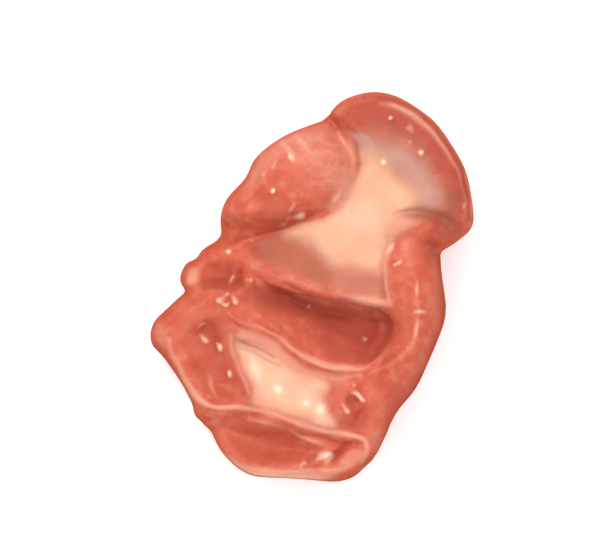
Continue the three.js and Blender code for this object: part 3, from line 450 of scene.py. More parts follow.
# Where the colours lie, in plan. A streak is a line of x, y, width and strength.
gizzardPaint = {
    # Middle of the fan that the upper tendon's fibres spread from.
    "fan": (7, 11),
    # Fades of the veil: away from the fan's middle, up the piece and, for its fringe, by angle.
    "veilFade": (7, 6), "veilRise": (11.4, 1.6), "fringeTurn": (30, 25), "lowerVeil": 0.7,
    # The tendon's edge is sharper along the crease beside the round lobe.
    "creaseSharp": 3, "creaseFade": (2.4, -1.5),
    # Pale paint fades down the sides, and steep faces get painted shade, a darker red, most of all
    # low down.
    "facingFade": (0, 0.3), "upwardFade": (7.5, 4), "steepFade": (0.75, -0.6),
    "lowFade": (15.5, -4, 0.35),
    # Closed lines round the tendons.
    "upperTendon": [(5.2, 25.8), (8, 25.9), (11, 25.6), (13.5, 25), (16.3, 23.9), (18.4, 22),
        (19.8, 20), (21.1, 17.8), (22.2, 16), (22.4, 14.2), (20.8, 12.4), (18.6, 11.2), (16.8, 9.6),
        (14.8, 8.6), (13.3, 7.2), (12.3, 5), (12.1, 2), (12.4, -1.7), (8, -1.3), (3, -0.2),
        (-1, 1.4), (-4, 2.8), (-6.8, 4), (-8.6, 5.4), (-8.8, 7.6), (-6, 9), (-3, 10.4), (0, 11.2),
        (3, 12.2), (5, 14.2), (6, 16.8), (7.1, 19), (7.9, 21), (7.3, 23.6), (5.8, 25.8)],
    "lowerTendon": [(-13.9, -7.8), (-11.6, -8.2), (-8.6, -9.4), (-5.4, -11.2), (-3, -13), (-1, -14),
        (2, -14.9), (4.8, -15.1), (3, -16.7), (2.3, -18.4), (2.9, -20.2), (3.8, -22), (4.8, -24.3),
        (2, -24), (-2, -22.6), (-6, -21), (-10.2, -19.9), (-10.1, -18), (-11.2, -15.8),
        (-12.2, -13.2), (-13.4, -10.6)],
    # Cream areas of the tendons, and the web on the round lobe: strength, soft edge, line.
    "cream": {
        "upper": (1, 3.8, [(8.8, 22.6), (11.8, 21.6), (14, 18.6), (17.2, 15.8), (17.4, 13.6),
            (15.4, 11.8), (13.4, 9.8), (12.2, 6.4), (11.8, 2.8), (7.5, 3), (3.6, 4), (1.6, 5),
            (0.4, 6.8), (-1, 7.8), (-4.6, 9), (-2, 10.8), (2, 11.9), (4.6, 13.6), (6.2, 17),
            (7.4, 20.4)]),
        "lower": (1, 1.6, [(-12.4, -9.4), (-7.4, -11), (-4, -13), (0, -14.8), (2.6, -16.4),
            (2, -19), (2.8, -21), (3.8, -23.4), (-1, -22.4), (-5, -21), (-9.8, -19.6),
            (-10.2, -16.6), (-12.2, -12.4)]),
    },
    "web": {
        "lobe": (1, 4, [(-5, 24.6), (0, 26.4), (5.4, 24.8), (6.8, 20.6), (5.2, 16), (1.6, 15.8),
            (-2.6, 20.4)]),
    },
    # Darker red areas, in the same way: partly the meat's own darker red, partly painted shade in
    # the hollow, valleys, pits, dish, creases, under rims and on walls facing away from the light.
    "deepRedAndShade": {
        "hollowLeft": (0.8, 2.6, [(-9.4, -0.4), (-7.4, 0.2), (-5, -0.6), (-2, -2.8), (-3.6, -4.4),
            (-6.4, -4), (-9.4, -2.8)]),
        "hollowFloor": (0.5, 2.4, [(2, -7.8), (5, -8.6), (8, -9.6), (11.4, -10.4), (8.6, -12.6),
            (5, -12.4), (2, -11.2)]),
        "hollow": (0.3, 2.2, [(-10.5, 0.2), (-8.4, 0.7), (-6, 0.2), (-4, -0.7), (-1, -1.9),
            (2, -2.7), (5, -3.1), (8, -3.4), (12, -3.9), (13.7, -5.4), (13.8, -7.6), (12.4, -10),
            (10, -12.2), (7, -12.6), (2, -12.2), (-1, -10.9), (-4, -7.8), (-7.5, -5.6), (-11, -4),
            (-12.6, -1)]),
        "hollowDark": (0.8, 1.2, [(-8.6, 0.4), (-6, -0.2), (-4, -1), (-1, -2.1), (2, -2.9),
            (5, -3.4), (8, -4.2), (10.6, -5), (11.6, -6.6), (11.4, -8.4), (9.6, -9.9), (6.4, -9.2),
            (3, -7.4), (-1, -5.2), (-4.6, -4.2), (-8, -1.6), (-9, -0.4)]),
        "flapWall": (0.67, 1.8, [(4.6, 29), (7, 30.8), (10.5, 31.3), (14, 30.2), (17.5, 27.9),
            (20.5, 24.9), (23, 21.6), (25, 17.6), (25.6, 13.4), (25.2, 10.2), (22.6, 8.4),
            (19.4, 8.2), (19.6, 11.2), (21.6, 13.4), (21.6, 16.8), (19.8, 19.6), (17.6, 22.4),
            (15, 24.6), (11.5, 25.9), (7, 26.6)]),
        "lobeValley": (0.34, 2.6, [(-9.2, 9.8), (-9.4, 12.8), (-8, 15.2), (-5.4, 14.8),
            (-2.8, 13.2), (-1.6, 12), (-3, 10.9), (-6.4, 9.7)]),
        "lobeLeft": (0.22, 2.0, [(-13, 15.8), (-10.8, 16), (-10, 13.8), (-11.4, 12.8),
            (-13, 13.4)]),
        "leftValley": (0.42, 2.4, [(-19, -5.4), (-15.4, -5), (-14.4, -8.4), (-13.2, -12.4),
            (-11.2, -16.4), (-10.4, -19.2), (-14, -19.2), (-18, -17.6), (-20.2, -13.6),
            (-20.8, -9.2)]),
        "leftPit": (0.25, 1.4, [(-18.6, -6), (-16.6, -5.6), (-15.4, -8), (-15.8, -11),
            (-17.6, -11.2), (-18.6, -9)]),
        "bottomDish": (0.45, 2.2, [(-15.8, -25), (-11, -24.2), (-6, -24.8), (-2, -25.8), (2, -26.8),
            (3.4, -28.4), (0.6, -30), (-4, -30.2), (-9, -29.8), (-13, -28), (-15.6, -25.6)]),
        "underRim": (0.2, 0.9, [(-12, -21), (-7, -21.9), (-3, -23.3), (1, -24.7), (5, -25.5),
            (6.4, -26.3), (3, -26.4), (-2, -24.7), (-6, -23), (-11, -22)]),
        "waistLeft": (0.85, 2.4, [(-11, 6), (-9.6, 7.8), (-6, 7.4), (-6.2, 5), (-9, 4.6)]),
        "neck": (0.55, 1.8, [(-17, 4.8), (-15.4, 4.4), (-12.4, 3.8), (-11.6, 1.6), (-13, -0.6),
            (-16, -1), (-17.6, 0.6)]),
        "bandHead": (0.45, 2.4, [(16.6, 8.2), (19.6, 8), (21.2, 5.4), (19, 4), (16.8, 5)]),
        "leftShoulder": (0.32, 2.4, [(-23, -3.6), (-20.6, -1.6), (-18.2, -2), (-18.6, -5.6),
            (-21.6, -7), (-23.4, -5.8)]),
        "underFork": (0.3, 1.8, [(-16.4, -3.4), (-13.6, -2.8), (-12.4, -4.6), (-13, -6.6),
            (-15, -7.4), (-16.6, -6)]),
        "waistEdge": (0.25, 1.6, [(-11.4, 3.8), (-8, 3.6), (-4, 2.6), (-2.6, 1), (-6, 1),
            (-10, 2)]),
        "bandLowSide": (0.2, 1.6, [(12.6, -16.2), (15.8, -13.6), (16.6, -16), (14, -19.6),
            (12.4, -19)]),
        "flapFoot": (0.35, 1.8, [(21.4, 11.4), (23.6, 11.4), (25, 10.2), (24.2, 8.6), (21.8, 8.6),
            (20.8, 10)]),
        "lumps": (0.5, 2.0, [(6.8, -18.6), (9, -19.6), (9.4, -24), (6, -24.4), (4.6, -22.4),
            (5.2, -19.6)]),
        "farSide": (0.5, 2.0, [(19.8, 6), (22.4, 4), (23.6, -4), (21.8, -10), (18, -18), (14, -23),
            (13, -28), (8, -33.8), (3, -34), (4, -32.8), (8.4, -31.6), (11.6, -28), (13, -22),
            (15.8, -17), (19.2, -10), (20.6, -3)]),
        "bandLow": (0.26, 2.4, [(10.6, -16), (14.6, -13.4), (15.6, -15.6), (13, -20),
            (9.6, -21.6)]),
    },
    # Darkest shadow, under the left of the upper lip.
    "shade": {
        "hollowLeft": (0.42, 2.4, [(-7.6, -0.2), (-5.6, -0.2), (-3, -1.2), (-0.8, -2.2),
            (1.6, -2.9), (0.4, -3.8), (-2.4, -4), (-5, -3.2), (-7.4, -1.8)]),
    },
    # Painted shade: dark red streaks in and beside rims, creases, slits and holes, and under a
    # bump.
    "shadeStreaks": [
        [(12.6, 27.2, 0.6, 0.6), (13.6, 26.6, 0.7, 0.8), (14.2, 25.6, 0.5, 0.3)],
        [(16, 12.6, 0.6, 0.2), (19, 12, 0.8, 0.5), (22, 10.6, 1.4, 0.6)],
        [(8.7, 31.6, 0.7, 0.2), (11.6, 31.5, 0.7, 0.6), (13.8, 31.1, 0.6), (16.3, 29.8),
            (18.4, 28.3), (20.3, 26.5), (21.8, 24.5), (23.4, 22.2), (24.6, 19.9), (25.4, 17),
            (25.9, 14.3, 0.6, 0.5), (26, 11.3)],
        [(3.4, 28.4, 0.5, 0.6), (5, 26.8), (7.2, 24.4, 0.45, 0.8), (8, 21.6),
            (7.3, 18.6, 0.45, 0.7), (5.6, 15.6, 0.45, 0.5), (2.6, 12.2, 0.45, 0.4), (-2, 10.8, 0.5),
            (-7.6, 8.9, 0.6, 0.6), (-9.6, 9, 0.7, 0.5)],
        [(6.6, -26.3, 0.35, 0.4), (5.2, -27, 0.45, 0.9), (4.2, -28), (3.3, -29.3, 0.4, 0.7)],
        [(-12.1, 0.8, 0.7, 0.8), (-12.6, 1.6, 0.5), (-12.4, 2.4, 0.5, 0.5)],
        [(-18, 3.8, 1, 0.15), (-17.7, 1.6, 1.2, 0.2), (-18.4, -0.4, 0.9, 0.3)],
        [(6, -18.8, 0.5, 0.6), (7.2, -18.9, 0.5, 0.7)],
        [(-0.6, -29.2, 0.4, 0.6), (0.3, -28.4, 0.4, 0.5)],
    ],
    # Painted shade: brown streaks in folds and wrinkles over the tendons, and in the shadowed
    # corner of the flap.
    "foldShadeStreaks": [
        [(13.6, 11.6, 0.5, 0.05), (14.8, 12.2, 0.55, 0.15), (16.6, 12.6, 0.6, 0.25),
            (19, 12.4, 0.75, 0.4), (21.4, 11.4, 0.9, 0.65), (23.2, 10, 1, 0.6)],
        [(20, 12.8, 1.2, 0.3), (22.6, 12.4, 1.8, 0.7), (23.4, 14.8, 1.4, 0.5)],
        [(20.8, 19, 1, 0.1), (22.2, 17, 1.1, 0.25), (22.8, 15, 1, 0.3)],
        [(3.4, 3.4, 0.5, 0.25), (4.4, 3, 0.5, 0.2)],
        [(-12.8, -8.8, 0.5, 0.5), (-11.7, -9.2, 0.6, 0.7), (-9.6, -10, 0.35, 0.55),
            (-6.6, -11.6, 0.3, 0.5)],
        [(-12.4, -10.2, 0.5, 0.4), (-10.6, -10.7, 0.35, 0.5), (-8.4, -11.7, 0.3),
            (-5.6, -13.2, 0.3, 0.4)],
        [(-11.4, -8.6, 0.3, 0.3), (-9.2, -9.3, 0.25, 0.4), (-7, -10.6, 0.25, 0.15)],
    ],
    # Streaks for pale lips, rims and membrane, with painted highlight along the lips and the band's
    # crest.
    "paleAndHighlightStreaks": [
        [(-10, 3.2, 0.6, 0.1), (-7, 2.2, 0.7, 0.25), (-3, 0.8, 0.7, 0.3), (1, -0.8, 0.8, 0.1),
            (5, -1.8, 0.9, 0.3), (9, -2.3, 0.9, 0.95), (12.6, -2.9, 0.8, 0.7)],
        [(-13.6, -5, 0.48, 0.2), (-11, -5.9, 0.48, 0.35), (-8, -7.3, 0.5, 0.45),
            (-5, -8.8, 0.5, 0.55), (-3, -10.4, 0.48, 0.6), (-1, -11.9, 0.56, 0.7),
            (2, -13, 0.56, 0.95), (5, -13.5, 0.56, 0.85), (8, -13.6, 0.48, 0.65),
            (9.4, -13.2, 0.4, 0.4)],
        [(-24.2, -8.6, 0.48, 0.4), (-23.6, -11, 0.56, 0.55), (-22.2, -14, 0.56, 0.65),
            (-20.6, -17, 0.6, 0.9), (-18.9, -19, 0.6, 1), (-16.4, -20.1, 0.5, 0.9),
            (-13, -20.2, 0.48, 0.75), (-10, -20.3, 0.48, 0.6), (-6, -21.4, 0.64, 0.7), (-2, -22.9),
            (2, -24.2, 0.56, 0.8), (6, -24.8, 0.56, 0.9), (8.6, -25.6, 0.48), (9, -27.2, 0.48, 0.7),
            (8.2, -29.4, 0.48, 0.5)],
        [(-11, -22.2, 0.4, 0.4), (-8.4, -22.5, 0.4, 0.6), (-5, -23.7, 0.4, 0.35),
            (-2, -25, 0.45, 0.6), (0, -25.9, 0.5), (2.4, -26.9, 0.5, 0.3)],
        [(-16.4, -26.8, 0.5, 0.2), (-14.6, -28.8, 0.7, 0.7), (-12, -30.4, 0.9, 0.95),
            (-9, -31.5, 1.3, 1), (-5, -32, 1.4), (-1, -32), (2, -31.8, 1, 0.75),
            (4.4, -31.4, 0.7, 0.25)],
        [(11, 30.3, 0.5, 0.3), (13.6, 30.2, 0.6, 0.55), (15.8, 28.9, 0.65, 0.6), (17.9, 27.4),
            (19.7, 25.7, 0.6, 0.65), (21.3, 23.7, 0.55, 0.6), (22.7, 21.6, 0.5, 0.5),
            (24, 19.4, 0.45, 0.4), (24.7, 16.8, 0.45, 0.3), (25.2, 14.1, 0.5),
            (25.1, 11.1, 0.6, 0.2)],
        [(25.2, 19.6, 0.4, 0.2), (26.1, 17.2, 0.4, 0.5), (26.5, 14.6, 0.5, 0.6),
            (26.6, 12, 0.5, 0.5)],
        [(3.4, 12.8, 0.8, 0.3), (4.8, 14.6, 0.9, 0.7), (6.2, 16.8, 0.7, 0.6)],
        [(11.9, 7, 0.4, 0.3), (12.1, 3, 0.35, 0.5), (12.5, -2)],
        [(17.2, 1.4, 0.5, 0.1), (17.2, -2, 0.5, 0.2), (17.3, -5, 0.5, 0.25), (16.9, -8.5, 0.6, 0.3),
            (15.4, -11, 0.7), (12, -13.4, 0.6, 0.35), (9.6, -14.6, 0.6, 0.3)],
        [(-14, -8, 0.4, 0.4), (-13.2, -11, 0.45, 0.5), (-11.6, -15), (-10.5, -18, 0.4, 0.4)],
        [(-4.9, 24.2, 0.4, 0.3), (-4, 23, 0.45, 0.6), (-3.2, 21.6, 0.5, 0.5)],
        [(-2.4, 24.8, 0.6, 0.5), (-1.4, 23.4, 0.4, 0.45), (-0.4, 22.2, 0.35, 0.3)],
        [(4.6, 25.4, 0.7, 0.4), (6.6, 22.8, 0.7, 0.6), (6.6, 20.2, 0.6, 0.5), (5.8, 18, 0.8, 0.6),
            (4.6, 15.4, 0.9, 0.8), (3, 13.6, 0.7, 0.5)],
        [(-17.3, -15, 0.5, 0.3), (-16.9, -16.6, 0.5, 0.5), (-16.3, -18.2, 0.4, 0.3)],
        [(4.2, 29, 0.9, 0.35), (5.4, 30.6, 0.9, 0.15)],
        [(13.2, 9.6, 1.1, 0.6), (15.2, 10.6, 1.2, 0.75), (17.6, 11, 0.8, 0.4)],
        [(12.9, 8, 0.6, 0.5), (12.6, 6.2, 0.6, 0.6), (12.5, 4.6, 0.4, 0.3)],
    ],
    # Lighter and paler patches, in the same way: pale membrane, and painted light on faces and
    # lobes that turn to the light.
    "paleAndLit": {
        "lobeFace": (0.36, 2.0, [(-6.6, 24), (-2, 26.4), (3, 26.4), (6.6, 23.4), (6.6, 20.2),
            (5.4, 17), (2.4, 17.6), (-1, 19.6), (-3.8, 20.4)]),
        "lobeMiddle": (0.25, 2.0, [(-2.4, 18.4), (2.8, 18.4), (3.2, 16.2), (0.6, 15.4),
            (-2.2, 16.4)]),
        "lobeFoot": (0.2, 2.4, [(0.6, 14.6), (3.4, 18.6), (7.6, 19.6), (7.4, 16.6), (4.4, 13),
            (0.6, 12.2)]),
        "lobeShoulder": (0.4, 2.4, [(-11.2, 19.4), (-8, 22.6), (-5.6, 22), (-7.4, 18.4),
            (-10.4, 17.4)]),
        "curlInside": (0.48, 0.9, [(3.9, -29.9), (5.2, -28.2), (6.8, -27.2), (8.3, -27.4),
            (8.1, -28.9), (6.6, -30.3), (4, -31), (1.6, -31.1), (1.2, -30.2)]),
        "lowerPink": (0.65, 1.4, [(-12.4, -6.8), (-9, -7.8), (-5.4, -9.8), (-2.6, -12.2),
            (0.4, -14), (4, -14.9), (8, -14.6), (4.8, -15.6), (0, -15.2), (-4, -13.6),
            (-7.6, -11.2), (-12.4, -9.2)]),
        "nub": (0.8, 1.4, [(-21.6, 3), (-20.2, 4), (-18.9, 2.8), (-19.2, 0.8), (-21.4, 0.8)]),
        "leftShoulder": (0.4, 1.4, [(-26.6, -6.4), (-25.2, -6), (-24.4, -8.4), (-24.6, -10.4),
            (-26.4, -9.4)]),
        "hollowRight": (0.16, 2.2, [(8, -4), (12.6, -4.6), (13, -8), (10.6, -9.6), (8.4, -7)]),
        "bandEnd": (0.35, 2.4, [(9.6, -24), (11.8, -24.6), (11.6, -27.4), (9.8, -28)]),
        "waistRight": (0.32, 2.8, [(11.8, 6), (11.8, -2), (8, -1.8), (3.4, -0.6), (2.6, 3.4),
            (3.4, 6)]),
    },
    # Streaks of fat and shreds of membrane, and painted highlights on the band's crest and the
    # lower tendon.
    "fatAndHighlight": [
        [(-4, 22.5, 0.35, 0.4), (-3.6, 21.8, 0.4, 0.6), (-3.2, 21.1, 0.35, 0.5)],
        [(-6.2, 21, 0.35, 0.35), (-6.7, 19.8, 0.4, 0.5)],
        [(-4.1, 12.6, 0.4, 0.35), (-3.6, 13.2, 0.5, 0.5), (-3.1, 13.9, 0.4, 0.4)],
        [(-2.9, 11.6, 0.5, 0.5), (-1.6, 11.9, 0.55, 0.6)],
        [(-4.2, 11.5, 0.55, 0.4), (-3.9, 11.6, 0.5)],
        [(-5.1, 10.5, 0.5, 0.35), (-4.8, 10.4)],
        [(3.4, 14.1, 0.45, 0.5), (4, 14.8, 0.5, 0.65), (4.7, 15.7, 0.4, 0.4)],
        [(-10.4, -11.6, 0.6, 0.5), (-9.8, -13.6, 0.9, 0.8), (-9.1, -15.9, 0.6, 0.5)],
        [(12.3, 5.6, 0.4, 0.5), (12.9, 6.6, 0.55, 0.8), (13.4, 7.4, 0.4, 0.4)],
        [(13.6, 3.6, 0.4, 0.6), (14.5, 4.2, 0.45, 0.7)],
        [(24.8, 10.5, 0.35, 0.25), (24.9, 11.3)],
        [(24.9, 13.1, 0.35, 0.5), (24.9, 13.8)],
        [(-16, -2.2, 0.4, 0.8), (-15, -1.6, 0.4, 0.5), (-14.2, -0.9, 0.35)],
        [(-15.6, -2.4, 0.45, 0.6), (-14.6, -3, 0.45, 0.8), (-14.2, -2.4, 0.3, 0.4)],
        [(-13.4, -1.4, 0.4, 0.5), (-12.9, -2.4, 0.5, 0.9), (-12.7, -2.9, 0.4, 0.5)],
        [(-13.8, 0.8, 0.35, 0.5), (-13.5, 1.6, 0.4, 0.7)],
        [(-11.2, 1.3, 0.35, 0.4), (-10.3, 1.4, 0.4, 0.6)],
        [(-19.3, -7, 0.4, 0.4), (-18.6, -6.2, 0.4, 0.6), (-17.9, -6.3, 0.35, 0.3)],
        [(-18.8, -8.2, 0.4, 0.4), (-18.1, -8.9, 0.5, 0.6)],
        [(-16.1, -9.4, 0.4, 0.6), (-15.5, -10.4, 0.45, 0.8)],
        [(-14, -14.3, 0.35, 0.7), (-13.9, -15)],
        [(0.9, -28.9, 0.6, 0.5), (1.8, -28.4, 0.8, 0.9), (3, -28.4, 0.6), (2.4, -29.4, 0.7, 0.5)],
        [(-2.2, -30.2, 0.4, 0.4), (-1.5, -29.6, 0.5, 0.6)],
        [(6.6, -17.9, 0.35, 0.4), (7.5, -17.9, 0.35, 0.9), (8.3, -18.9)],
        [(5, -19.5, 0.45, 0.45), (5.6, -20.7, 0.5, 0.8)],
        [(15.9, 24.2, 0.5, 0.45), (15.4, 23.5, 0.4, 0.35)],
        [(15.9, 26.4, 0.5, 0.45), (16.5, 25.9, 0.5, 0.35)],
        [(17.2, 1.3, 0.35, 0.3), (17.2, -0.2, 0.45, 0.65), (17.3, -1.8, 0.35, 0.3)],
        [(17, -4.1, 0.4, 0.5), (18.4, -4.1, 0.45, 0.55)],
        [(17.4, -5.4, 0.4, 0.4), (17.3, -7, 0.5, 0.65), (17, -8.4, 0.4, 0.3)],
        [(-8, -14, 2.2, 0.3), (-3, -18, 2.6, 0.35), (1, -20.4, 2.2, 0.25)],
        [(12.6, 30.4, 0.35, 0.2), (14, 30.1, 0.4, 0.4), (15.9, 28.9), (18, 27.4, 0.35, 0.25),
            (19.8, 25.7, 0.35, 0.15)],
        [(-13, -30, 0.8, 0.2), (-9, -31.7, 1, 0.6), (-4, -32.3, 1, 0.65), (1, -32.3, 1, 0.5)],
        [(2.4, -13.3, 0.4, 0.1), (4.4, -13.6, 0.4, 0.35), (6.6, -13.8, 0.35, 0.1)],
    ],
    # Nearly white flecks, mostly painted glints where wet spots catch the light and a few of fat:
    # x, y, radius, strength.
    "glintAndFatFlecks": [(-14.4, 6, 0.6, 1), (-6.6, 16, 0.55, 0.95), (-3.6, 21.7, 0.5, 0.7),
        (-8.2, 18.9, 0.5, 0.5), (12.7, 28, 0.5, 0.75), (18, 22.3, 0.6, 0.8), (11.6, 20.8, 0.65, 1),
        (16.4, 26.6, 0.45, 0.35), (-0.5, -3.2, 0.5, 0.75), (8.9, -8.8, 0.55, 0.65),
        (17.7, -4, 0.4, 0.5), (15.7, -10.2, 0.45, 0.45), (-5.7, -17.1, 1, 0.95),
        (-2, 11.7, 0.55, 0.6), (-10.4, 7.8, 0.45, 0.4), (-10.6, -5.6, 0.4, 0.4),
        (-18.1, -9, 0.5, 0.5), (-15.6, -9.9, 0.5, 0.8), (-13.9, -14.6, 0.45, 0.7),
        (-24, -9, 0.5, 0.4), (1.4, -20.6, 1.3, 0.8), (-1.2, -19.4, 1.3, 0.7),
        (-9.7, -13.5, 0.9, 0.6), (-9.9, -12.3, 0.6, 0.4), (-9.3, -14.9, 0.6, 0.4),
        (7, -16.6, 0.4, 0.6), (2.3, -28.5, 0.6, 0.6)],
}


def patch(x, y, strength, soft, line):
    return strength * np.clip(insideRing(x, y, line) / soft + 0.5, 0, 1)


def layered(amounts):
    left = 1.0
    for amount in amounts:
        left = left * (1.0 - amount)
    return 1.0 - left


# Amounts of each colour at the points of the mesh. The slope is 1 where a face looks up.
def paintAmounts(x, y, z, slope):
    paint = gizzardPaint
    x, y = waver(x, y)

    def patches(name):
        return [patch(x, y, *values) for values in paint[name].values()]

    def streaks(name, share=1):
        return [share * ridge(x, y, line) for line in paint[name]]

    crease, _ = lineDistance(x, y, curve(gizzardForm["ridges"]["lobeCrease"]))
    sharper = 1 + paint["creaseSharp"] * fade(crease, *paint["creaseFade"])
    upper = insideRing(x, y, paint["upperTendon"]) * sharper
    lower = insideRing(x, y, paint["lowerTendon"])
    alongX, alongY = x - paint["fan"][0], y - paint["fan"][1]
    veil = fade(np.hypot(alongX, alongY), *paint["veilFade"]) * fade(y, *paint["veilRise"])
    turned = fade(np.degrees(np.arctan2(alongX, alongY)), *paint["fringeTurn"])
    facing = fade(slope, *paint["facingFade"])
    upward = fade(z, *paint["upwardFade"]) * facing
    glintAndFatFlecks = [mound(x, y, spot) for spot in paint["glintAndFatFlecks"]]
    return {
        "tendon": np.clip(np.maximum(upper, lower), -5, 5),
        "veil": np.maximum(veil, paint["lowerVeil"] * np.clip(lower + 0.5, 0, 1)),
        "fringe": veil * turned,
        "cream": np.maximum(*patches("cream")),
        "deepRedAndShade": np.clip(layered(patches("deepRedAndShade") + streaks("shadeStreaks", facing)), 0, 1),
        "paleAndLit": upward * layered(patches("paleAndLit") + streaks("paleAndHighlightStreaks")),
        "web": layered(patches("web")),
        "fatAndHighlight": upward * layered(streaks("fatAndHighlight") + glintAndFatFlecks),
        "glintAndFat": upward * layered(glintAndFatFlecks),
        "shade": layered(patches("shade")),
        "fold": layered(streaks("foldShadeStreaks")),
        "side": fade(slope, *paint["steepFade"]) * fade(z, *paint["lowFade"]),
    }


# A node output that works with Python's operators.
class Wire:
    def __init__(self, tree, socket=None):
        self.tree = tree
        self.socket = socket

    # Any node: its settings first, then the values or links of its sockets.
    def node(self, kind, settings=None, sockets=None, output=0):
        made = self.tree.nodes.new(kind)
        for name, value in (settings or {}).items():
            setattr(made, name, value)
        for name, value in (sockets or {}).items():
            if isinstance(value, Wire):
                self.tree.links.new(value.socket, made.inputs[name])
            else:
                made.inputs[name].default_value = value
        return Wire(self.tree, made.outputs[output] if made.outputs else None)

    # Another output of the same node.
    def output(self, name):
        return Wire(self.tree, self.socket.node.outputs[name])

    def math(self, operation, first, second=0.0):
        return self.node("ShaderNodeMath", {"operation": operation}, {0: first, 1: second})

    def __add__(self, other):
        return self.math("ADD", self, other)

    def __radd__(self, other):
        return self.math("ADD", other, self)

    def __sub__(self, other):
        return self.math("SUBTRACT", self, other)

    def __rsub__(self, other):
        return self.math("SUBTRACT", other, self)

    def __mul__(self, other):
        return self.math("MULTIPLY", self, other)

    def __rmul__(self, other):
        return self.math("MULTIPLY", other, self)

    def __truediv__(self, other):
        return self.math("DIVIDE", self, other)

    def __rtruediv__(self, other):
        return self.math("DIVIDE", other, self)

    # 0 below low, 1 above high and smooth between.
    def between(self, low, high):
        return self.node("ShaderNodeMapRange", {"interpolation_type": "SMOOTHSTEP"},
                         {"Value": self, "From Min": low, "From Max": high})

    # Goes from one colour to another with this value as the share.
    def mix(self, first, second):
        return self.node("ShaderNodeMix", {"data_type": "RGBA"},
                         {0: self, 6: first, 7: second}, output=2)

    def noise(self, vector, scale, detail=2.0, roughness=0.5):
        return self.node("ShaderNodeTexNoise", {}, {
            "Vector": vector, "Scale": scale, "Detail": detail, "Roughness": roughness})

    def attribute(self, name):
        return self.node("ShaderNodeAttribute", {"attribute_name": name}, output="Fac")


# Colour as the screen shows it, 0 to 255, turned into the light it stands for.
def tone(red, green, blue):
    shares = [value / 255 for value in (red, green, blue)]
    return tuple(s / 12.92 if s <= 0.04045 else ((s + 0.055) / 1.055) ** 2.4 for s in shares) + (1,)


meatLook = {
    "muscle": tone(206, 104, 80),
    "muscleLight": tone(210, 122, 98),
    "muscleRed": tone(194, 86, 64),
    # Darker red, partly the meat's own and partly painted shade in hollows and creases.
    "deepRedAndShade": tone(166, 74, 58),
    "shade": tone(128, 52, 40),
    # Painted shade on steep faces low down.
    "side": tone(164, 64, 42),
    # Pale membrane, also used for painted light on lit faces and crests.
    "paleAndLit": tone(222, 152, 128),
    "film": tone(170, 102, 80),
    "flapFilm": tone(195, 144, 127),
    "flapFibre": tone(202, 152, 136),
    "flapEdge": tone(183, 117, 100),
    "cream": tone(224, 168, 136),
    "creamLight": tone(229, 180, 152),
    # Fat, also used for painted highlights.
    "fatAndHighlight": tone(242, 196, 168),
    # Near-white of painted glints and of fat flecks.
    "glintAndFat": tone(248, 220, 192),
    # Brown of the painted shade in folds and wrinkles.
    "fold": tone(150, 88, 70),
    # How strong the painted shade on steep faces is.
    "sideShade": 0.5,
    # Patterns: how fine each one is, for a millimetre.
    "blotchScale": 0.22, "mottleScale": 0.55, "grainScale": 2.4, "veinScale": 0.42,
    "fibreScale": 2.6, "tuftScale": 1.1, "fibreAcross": 9.0, "fibreAlong": 0.16,
    # How far fibres, tufts and mottling fray the tendon's edge, in millimetres.
    "fibreFray": 2.0, "tuftFray": 4.2, "mottleFray": 1.2,
    # How much the web shows, and the heights of the bump.
    "web": 0.13, "grainHeight": 0.035, "fibreHeight": 0.05,
    # The wet shine comes from the coat alone.
    "roughness": 0.42, "bareShine": 0.0, "coat": 0.6, "coatRoughness": 0.3,
    "throughLight": 0.12, "throughDepth": 0.0012,
}


